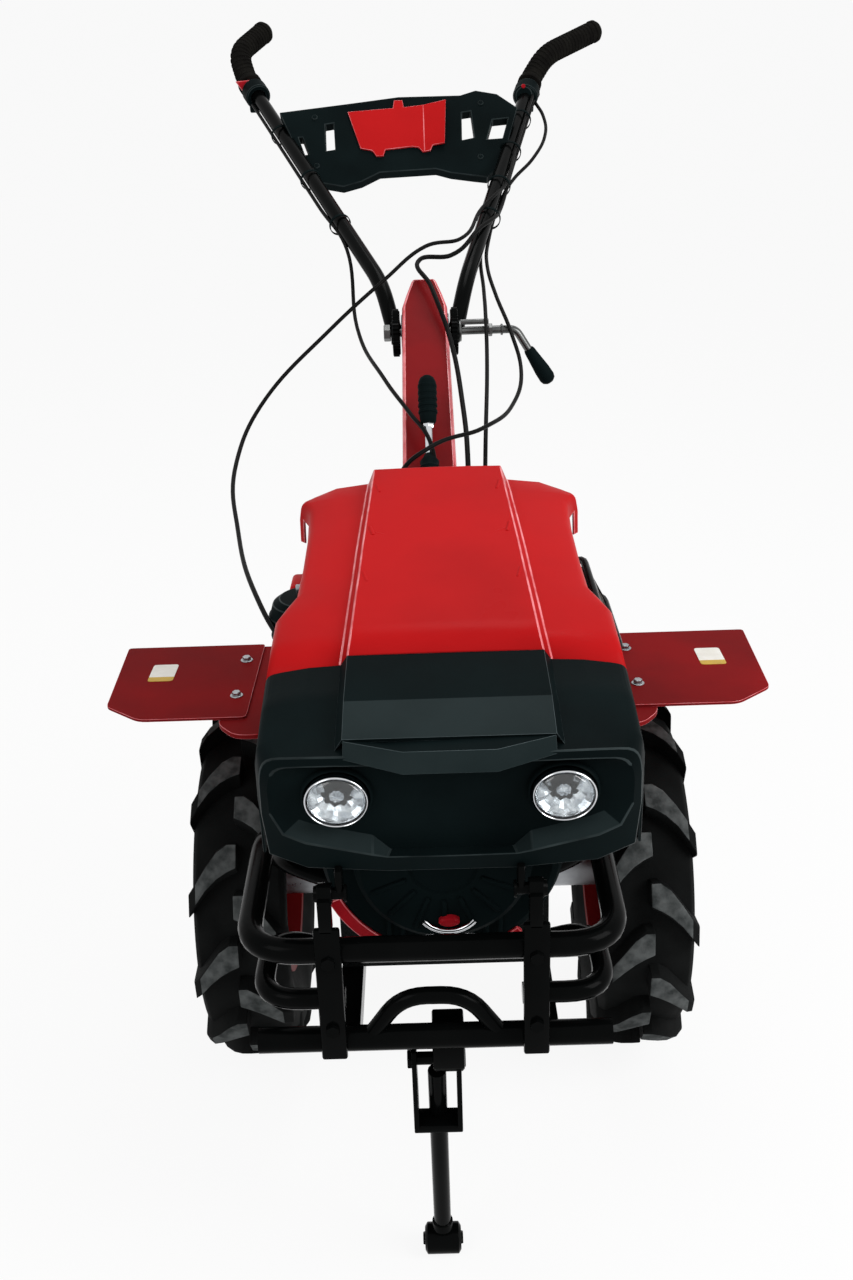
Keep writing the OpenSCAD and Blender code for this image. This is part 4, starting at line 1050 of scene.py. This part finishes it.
def makeHandLever(side, hand):
    run = tubeRun(hand)
    seat = tubeEnd(hand) - run * handLever["back"]
    form = bmesh.new()
    w, r = handLever["width"], handLever["clamp"]
    addTurned(form, [(-w, 12.6), (-w, r - 2), (-w + 2, r), (w - 2, r), (w, r - 2), (w, 12.6), (-w, 12.6)],
              seat, axis=run, steps=36)
    addBolt(form, seat + Vector((0, -4, -20)), -4, 10, 11, 8, 7, axis=Vector((hand, 0, 0)), steps=24)
    tidyForm(form)
    rings = []
    blade = [seat + Vector((hand * x, y, z)) for x, y, z in handLever["blade"]]
    for k, spot in enumerate(roundPath(blade, 16, 4)):
        wide = 5.5 - 1.6 * math.sin(k * 0.35)
        rings.append([spot + Vector(p) for p in ((-wide, 0, -2), (wide, 0, -2), (wide, 0, 2), (-wide, 0, 2))])
    addLoft(form, rings, caps=True)
    faceOut(form)
    shipPiece(form, f"handLever{side}", "blackAbs blackEdge", f"hand_lever_{side.lower()}", rides="handlebar",
              crease=32, edge=0.8)


for side, hand in (("Left", 1), ("Right", -1)):
    makeHandLever(side, hand)


def makeSwitches():
    seat = tubeEnd(-1) - tubeRun(-1) * 20
    form = bmesh.new()
    outline = [seat + Vector((-4 - x, -10, 6 + z)) for x, z in ((-10, 2), (4, -20), (24, 8), (-8, 10))]
    face = bmesh.ops.contextual_create(form, geom=addRing(form, outline))["faces"]
    made = bmesh.ops.extrude_face_region(form, geom=face, use_keep_orig=True)["geom"]
    bmesh.ops.translate(form, vec=(0, 12, 0), verts=corners(made))
    tidyForm(form)
    shipPiece(form, "triggerRight", "redPlastic redEdge", rides="handlebar", crease=30, edge=1.4)
    seat = tubeEnd(1) - tubeRun(1) * 40
    form = bmesh.new()
    addTurned(form, [(-16, 0), (-16, 13), (-13, 16.5), (8, 16.5), (12, 14), (12, 0)],
              seat + Vector((-4, 0, 0)), axis="Y", steps=36)
    tidyForm(form)
    shipPiece(form, "switchBody", "blackAbs blackEdge", rides="handlebar", crease=30, edge=1)
    form = bmesh.new()
    addTurned(form, [(-2, 0), (-2, 2.8), (-0.6, 3.4), (2, 3.4), (2, 0)], seat + Vector((-5, -15.5, 14)),
              axis="Y", steps=20)
    tidyForm(form)
    shipPiece(form, "switchButton", "redPlastic", rides="handlebar", crease=40)


makeSwitches()
print("switches are made")

# control cables: smooth routes held at both ends


def besideTube(hand, *spots):
    # points round a handle tube: place behind the axle, turn upwards from outwards, lift off the tube
    run, lug, route = tubeRun(hand), tubeLug(hand), []
    out = hand * run.cross(Vector((0, 0, 1))).normalized()
    up = hand * out.cross(run)
    for back, turn, lift in spots:
        aside = out * math.cos(math.radians(turn)) + up * math.sin(math.radians(turn))
        route.append(lug + run * ((axleY + back - lug.y) / run.y) + (bar["tube"] + 3.4 + lift) * aside)
    return route


def behind(*points):
    return [at(*point) for point in points]


cables = {  # radius and route, from the grips down
    "throttle": (2.6, besideTube(1, (938, 20, 0), (860, 20, 0), (780, 20, 0), (690, 20, 1), (650, 62, 4),
                                 (612, 100, 5))
                 + behind((52, 512, 882), (4, 474, 878), (-52, 430, 842), (-124, 380, 788), (-206, 300, 717),
                          (-234, 200, 664), (-218, 60, 624), (-176, -110, 600), (-148, -170, 582),
                          (-125, -205, 570))),
    "clutch": (2.6, besideTube(-1, (938, -30, 0), (850, -30, 0), (760, -30, 0), (660, -30, 0), (560, -30, 0))
               + behind((-92, 450, 778), (-52, 300, 736), (-22, 224, 712), (1, 175, 690), (9, 136, 653))),
    "gear": (3.1, besideTube(1, (938, -14, 0), (850, -14, 0), (740, -14, 0), (640, -14, 1), (605, 30, 3),
                             (570, 80, 3))
             + behind((38, 500, 862), (-4, 484, 860), (10, 420, 832), (31, 350, 779), (43, 240, 715),
                      (45, 150, 671), (42, 90, 620), (40, 84, 554))),
    "drive": (2.6, besideTube(1, (938, -80, 0), (850, -80, 0), (750, -80, 0), (650, -80, 0), (560, -80, 0))
              + behind((81, 470, 818), (80, 412, 801), (78, 340, 757), (66, 160, 671), (61, 90, 600),
                       (61, 72, 500))),
    "brake": (2.6, besideTube(1, (938, -20, 4), (905, -16, 22), (850, -14, 34), (790, -20, 26), (735, -36, 8),
                              (690, -47, 1), (580, -47, 0))
              + behind((88, 500, 843), (96, 455, 815), (112, 392, 776), (121, 330, 737), (109, 270, 713),
                       (63, 165, 705), (0, 112, 698), (-34, 94, 672), (-38, 84, 620), (-38, 84, 554))),
}


def makeCable(name, radius, route):
    curve = bpy.data.curves.new(name, "CURVE")
    curve.dimensions, curve.use_fill_caps, curve.resolution_u = "3D", True, 10
    curve.bevel_depth, curve.bevel_resolution = radius * mm, 3
    line = curve.splines.new("BEZIER")
    line.bezier_points.add(len(route) - 1)
    for point, spot in zip(line.bezier_points, route):
        point.co = spot * mm
        point.handle_left_type = point.handle_right_type = "AUTO"
    holder = bpy.data.objects.new(name, curve)
    mesh = bpy.data.meshes.new_from_object(holder)
    bpy.data.objects.remove(holder)
    piece = addObject(f"cable{name.capitalize()}", mesh)
    mesh.materials.clear()
    mesh.materials.append(finish["cableSleeve"])
    for face in mesh.polygons:
        face.use_smooth = True
    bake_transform(piece)
    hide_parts(f"cable_{name}")
    print("cable", name, "about", round(sum((b - a).length for a, b in zip(route, route[1:]))), "mm")


for name, (radius, route) in cables.items():
    makeCable(name, radius, route)

form = bmesh.new()  # ties that hold the cables to the tubes
for hand, hoop, lift, backs in ((1, 16, -10.5, (620, 700, 790, 880)), (-1, 14.6, -11.5, (610, 720, 840))):
    for spot in besideTube(hand, *((back, -40, lift) for back in backs)):
        addTurned(form, [(-2, hoop), (-2, hoop + 1.3), (2, hoop + 1.3), (2, hoop), (-2, hoop)], spot,
                  axis=tubeRun(hand), steps=28)
tidyForm(form)
shipPiece(form, "cableTies", "blackAbs", rides="handlebar", crease=30)
print("cables are made")

# engine: fan housing, starter, covers, air cleaner, muffler, frame rails

engine = {
    "crankZ": 478, "front": -345, "fanDeep": 48, "fan": 106, "starter": 75, "starterDeep": 14, "spokes": 16,
    # red flashes on the fan's rim: first and last angle, width
    "flashes": ((3.62, 4.3, 11), (2.44, 2.57, 8)),
    "rail": ((76, 330), (96, 330), (96, 326), (80, 326), (80, 304), (76, 304)),
}


def makeEngine():
    y, z, r = axleY + engine["front"], engine["crankZ"], engine["fan"]
    face = -engine["fanDeep"]
    form = bmesh.new()
    addTurned(form, [(0, r), (-6, r), (-34, r - 1), (face + 3, r - 6), (face, r - 12), (face + 2, r - 16),
                     (face + 2, 78), (face, 76), (face, 0)], (0, y, z), axis="Y", steps=72)
    for x in range(-48, 49, 12):  # upright ribs between the air slots
        tall = math.sqrt(96 ** 2 - x ** 2)
        addBlock(form, (x - 2.4, y + face - 3, z - tall), (x + 2.4, y + face + 6, z - tall + 36), edge=1)
    faceOut(form)
    shipPiece(form, "fanCover", "blackAbs", "fan_housing", crease=32, edge=1)
    form = bmesh.new()
    r, deep = engine["starter"], -engine["starterDeep"]
    front = Vector((0, y + face + deep, z))
    addTurned(form, [(1, r), (deep + 4, r), (deep, r - 5), (deep, 30), (deep + 3, 27), (deep + 3, 0)],
              (0, y + face, z), axis="Y", steps=64)
    for k in range(engine["spokes"]):
        made = addBlock(form, (-2.2, -2, 34), (2.2, 3, 66), edge=0.8)
        turn = Matrix.Rotation(math.tau * k / engine["spokes"], 4, "Y")
        bmesh.ops.transform(form, matrix=Matrix.Translation(front) @ turn, verts=made)
    faceOut(form)
    shipPiece(form, "starterCase", "blackAbs", "starter_cover", crease=32, edge=0.8)
    badge = Vector((4, front.y - 1, 424))
    form = bmesh.new()
    addTurned(form, [(-5, 0), (-5, 5), (-3.4, 6.6), (3, 6.6), (3, 0)], badge, axis="Y", steps=32)
    bmesh.ops.scale(form, vec=(1.368, 1, 0.72), space=Matrix.Translation(-badge), verts=form.verts)
    tidyForm(form)
    shipPiece(form, "starterBadge", "redPlastic", crease=40)
    form = bmesh.new()
    turns = [-0.9 + 0.15 * k for k in range(13)]
    addTube(form, [badge + Vector((28 * math.sin(a), -1, 17 - 28 * math.cos(a))) for a in turns], 2.6,
            sides=16)
    shipPiece(form, "starterArc", "chrome", crease=50)
    form = bmesh.new()
    for first, last, wide in engine["flashes"]:
        turns = [first + (last - first) * k / 12 for k in range(13)]
        reach = engine["fan"] - 9
        rim = [(reach, a) for a in turns] + [(reach + wide, a) for a in reversed(turns)]
        outline = [(r * math.sin(a), y + face - 1.5, z + r * math.cos(a)) for r, a in rim]
        addPierced(form, outline, 6, flat=(0, 1, 0))
    tidyForm(form)
    shipPiece(form, "fanFlashes", "redPlastic redEdge", crease=30, edge=1)
    form = bmesh.new()
    for hand in (-1, 1):  # rails folded from sheet
        loop = addRing(form, [at(hand * x, -426, h) for x, h in engine["rail"]])
        bmesh.ops.contextual_create(form, geom=loop)
        made = bmesh.ops.extrude_edge_only(form, edges=loop)["geom"]
        bmesh.ops.translate(form, vec=(0, 341, 0), verts=corners(made))
    for back in (-315, -135):
        addBlock(form, at(-78, back, 308), at(78, back + 30, 330), edge=1.5)
    tidyForm(form)
    shipPiece(form, "engineRails", "blackPowder", "engine_frame", crease=30, edge=0.8)


makeEngine()


def makeCleaner():
    centre = at(-125, -118, 0)
    x, y = centre.xy
    form = bmesh.new()
    addTurned(form, [(540, 0), (540, 36), (543, 39.5), (586, 39.5), (588, 42), (594, 42), (596, 40),
                     (606, 37), (611, 30), (612, 12), (612, 0)], centre, axis="Z")
    for height in (552, 562, 572):
        addTurned(form, [(height - 2, 39), (height - 1, 41), (height + 1, 41), (height + 2, 39)], centre,
                  axis="Z")
    faceOut(form)
    shipPiece(form, "airCleaner", "blackAbs blackEdge", "air_cleaner", crease=32, edge=0.8)
    form = bmesh.new()
    addBolt(form, centre, 611, 616, 617, 7, 5, axis="Z")
    addBlock(form, (x - 13, y - 1.5, 615), (x + 13, y + 1.5, 624), edge=1)
    tidyForm(form)
    shipPiece(form, "cleanerNut", "zincSteel", crease=40)
    form = bmesh.new()
    addBlock(form, at(-150, -74, 540), at(-104, -30, 604), edge=5, steps=4)
    shipPiece(form, "sideCover", "redEnamel redEdge", crease=40)
    form = bmesh.new()  # its bracket, bolted to the back of the crankcase
    for low, high in (((-146, -78, 536), (-60, -73, 560)), ((-90, -95.5, 490), (-60, -90, 560)),
                      ((-90, -94, 536), (-60, -74, 541))):
        addBlock(form, at(*low), at(*high), edge=0.8)
    shipPiece(form, "sideBracket", "blackPowder", crease=40)


makeCleaner()


def makeMuffler():
    x, y, z = at(141, -158, 576)
    form = bmesh.new()
    addTurned(form, [(0, 0), (0, 26), (3, 31), (8, 33), (60, 33), (61.5, 34.4), (64.5, 34.4), (66, 33),
                     (116, 33), (121, 31), (124, 26), (124, 10), (148, 10), (148, 8), (130, 8), (130, 0)],
              (x, y, z), axis="Y")
    addBlock(form, (107, y + 8, z - 14), (127, y + 38, z + 14), edge=2)
    faceOut(form)
    shipPiece(form, "mufflerCan", "mufflerSteel", "muffler", crease=32, edge=0.8)
    form = bmesh.new()
    for lift in (0, 22):  # tube guard round the muffler
        addTube(form, [(112, y - 12, 540 + lift), (182 - lift, y - 12, 560 + lift * 2),
                       (182 - lift, y + 140, 566 + lift * 2), (112, y + 150, 546 + lift)], 4.2, bend=26,
                sides=16)
    for back in (20, 64, 108):
        addTube(form, [(181, y + back, 566), (160, y + back, 606)], 2.6, sides=12)
    shipPiece(form, "mufflerGuard", "blackPowder", crease=50)


makeMuffler()
print("engine is made")

# gearbox, hitch and wheels: bolts, webs, pin

drive = {
    "boltRing": 62, "bolts": 8, "wheelBolts": 5, "wheelBoltRing": 48,
    "caseBolts": ((-70, 350), (-70, 420), (-70, 500), (0, 505), (60, 505), (104, 470), (104, 400),
                  (104, 352)),
}


def makeDrive():
    form = bmesh.new()
    turns = [math.tau * (k + 0.5) / drive["bolts"] for k in range(drive["bolts"])]
    ring = [(drive["boltRing"] * math.sin(a), axleZ + drive["boltRing"] * math.cos(a)) for a in turns]
    for hand in (-1, 1):
        for back, z in (*ring, *drive["caseBolts"]):
            addBolt(form, at(hand * 58, back, z), 0, 5, 6, 6, 5, hand=hand)
    addTurned(form, [(0, 0), (0, 14), (4, 15), (12, 15), (14, 12), (14, 0)], at(40, -30, 524), axis="Z",
              steps=10)
    tidyForm(form)
    shipPiece(form, "gearboxBolts", "zincSteel", crease=30, edge=0.4)
    form = bmesh.new()
    for hand in (-1, 1):
        for lean in (-0.5, 0, 0.5):  # webs that stiffen the casting above the axle
            made = addBlock(form, (hand * 60 - 3, -3, 70), (hand * 60 + 3, 3, 150), edge=1.5)
            turn = Matrix.Translation(at(0, 0, axleZ)) @ Matrix.Rotation(lean, 4, "X")
            bmesh.ops.transform(form, matrix=turn, verts=made)
        addBlock(form, at(hand * 59 - 3, -84, 330), at(hand * 59 + 3, 110, 338), edge=1.5)
    faceOut(form)
    shipPiece(form, "gearboxWebs", "greyCasting", crease=30)
    form = bmesh.new()
    addTurned(form, [(336, 0), (338, 6), (342, 7.6), (418, 7.6), (418, 12), (424, 12), (426, 10), (426, 0)],
              at(0, 164, 0), axis="Z", steps=32)
    turns = [math.tau * k / 20 for k in range(21)]
    addTube(form, [at(0, 164 + 9 * math.cos(a), 436 + 12 * math.sin(a)) for a in turns], 2, sides=12)
    tidyForm(form)
    shipPiece(form, "hitchPin", "zincSteel", crease=40)
    for side, hand in (("left", 1), ("right", -1)):
        form = bmesh.new()
        reach = drive["wheelBoltRing"]
        for a in (math.tau * k / drive["wheelBolts"] for k in range(drive["wheelBolts"])):
            spot = at(hand * 220, reach * math.sin(a), axleZ + reach * math.cos(a))
            addBolt(form, spot, -20, 10, 12, 8, 6.5, hand=hand)
        addTurned(form, [(0, 0), (0, 3.4), (16, 3.4), (17, 4.4), (26, 4.4), (26, 0)],
                  at(hand * 222, 66, axleZ + 48), steps=12, hand=hand)
        tidyForm(form)
        shipPiece(form, f"wheelBolts{side.capitalize()}", "zincSteel", rides=f"wheel_{side}", crease=30,
                  edge=0.5)


makeDrive()
print("drive is made")
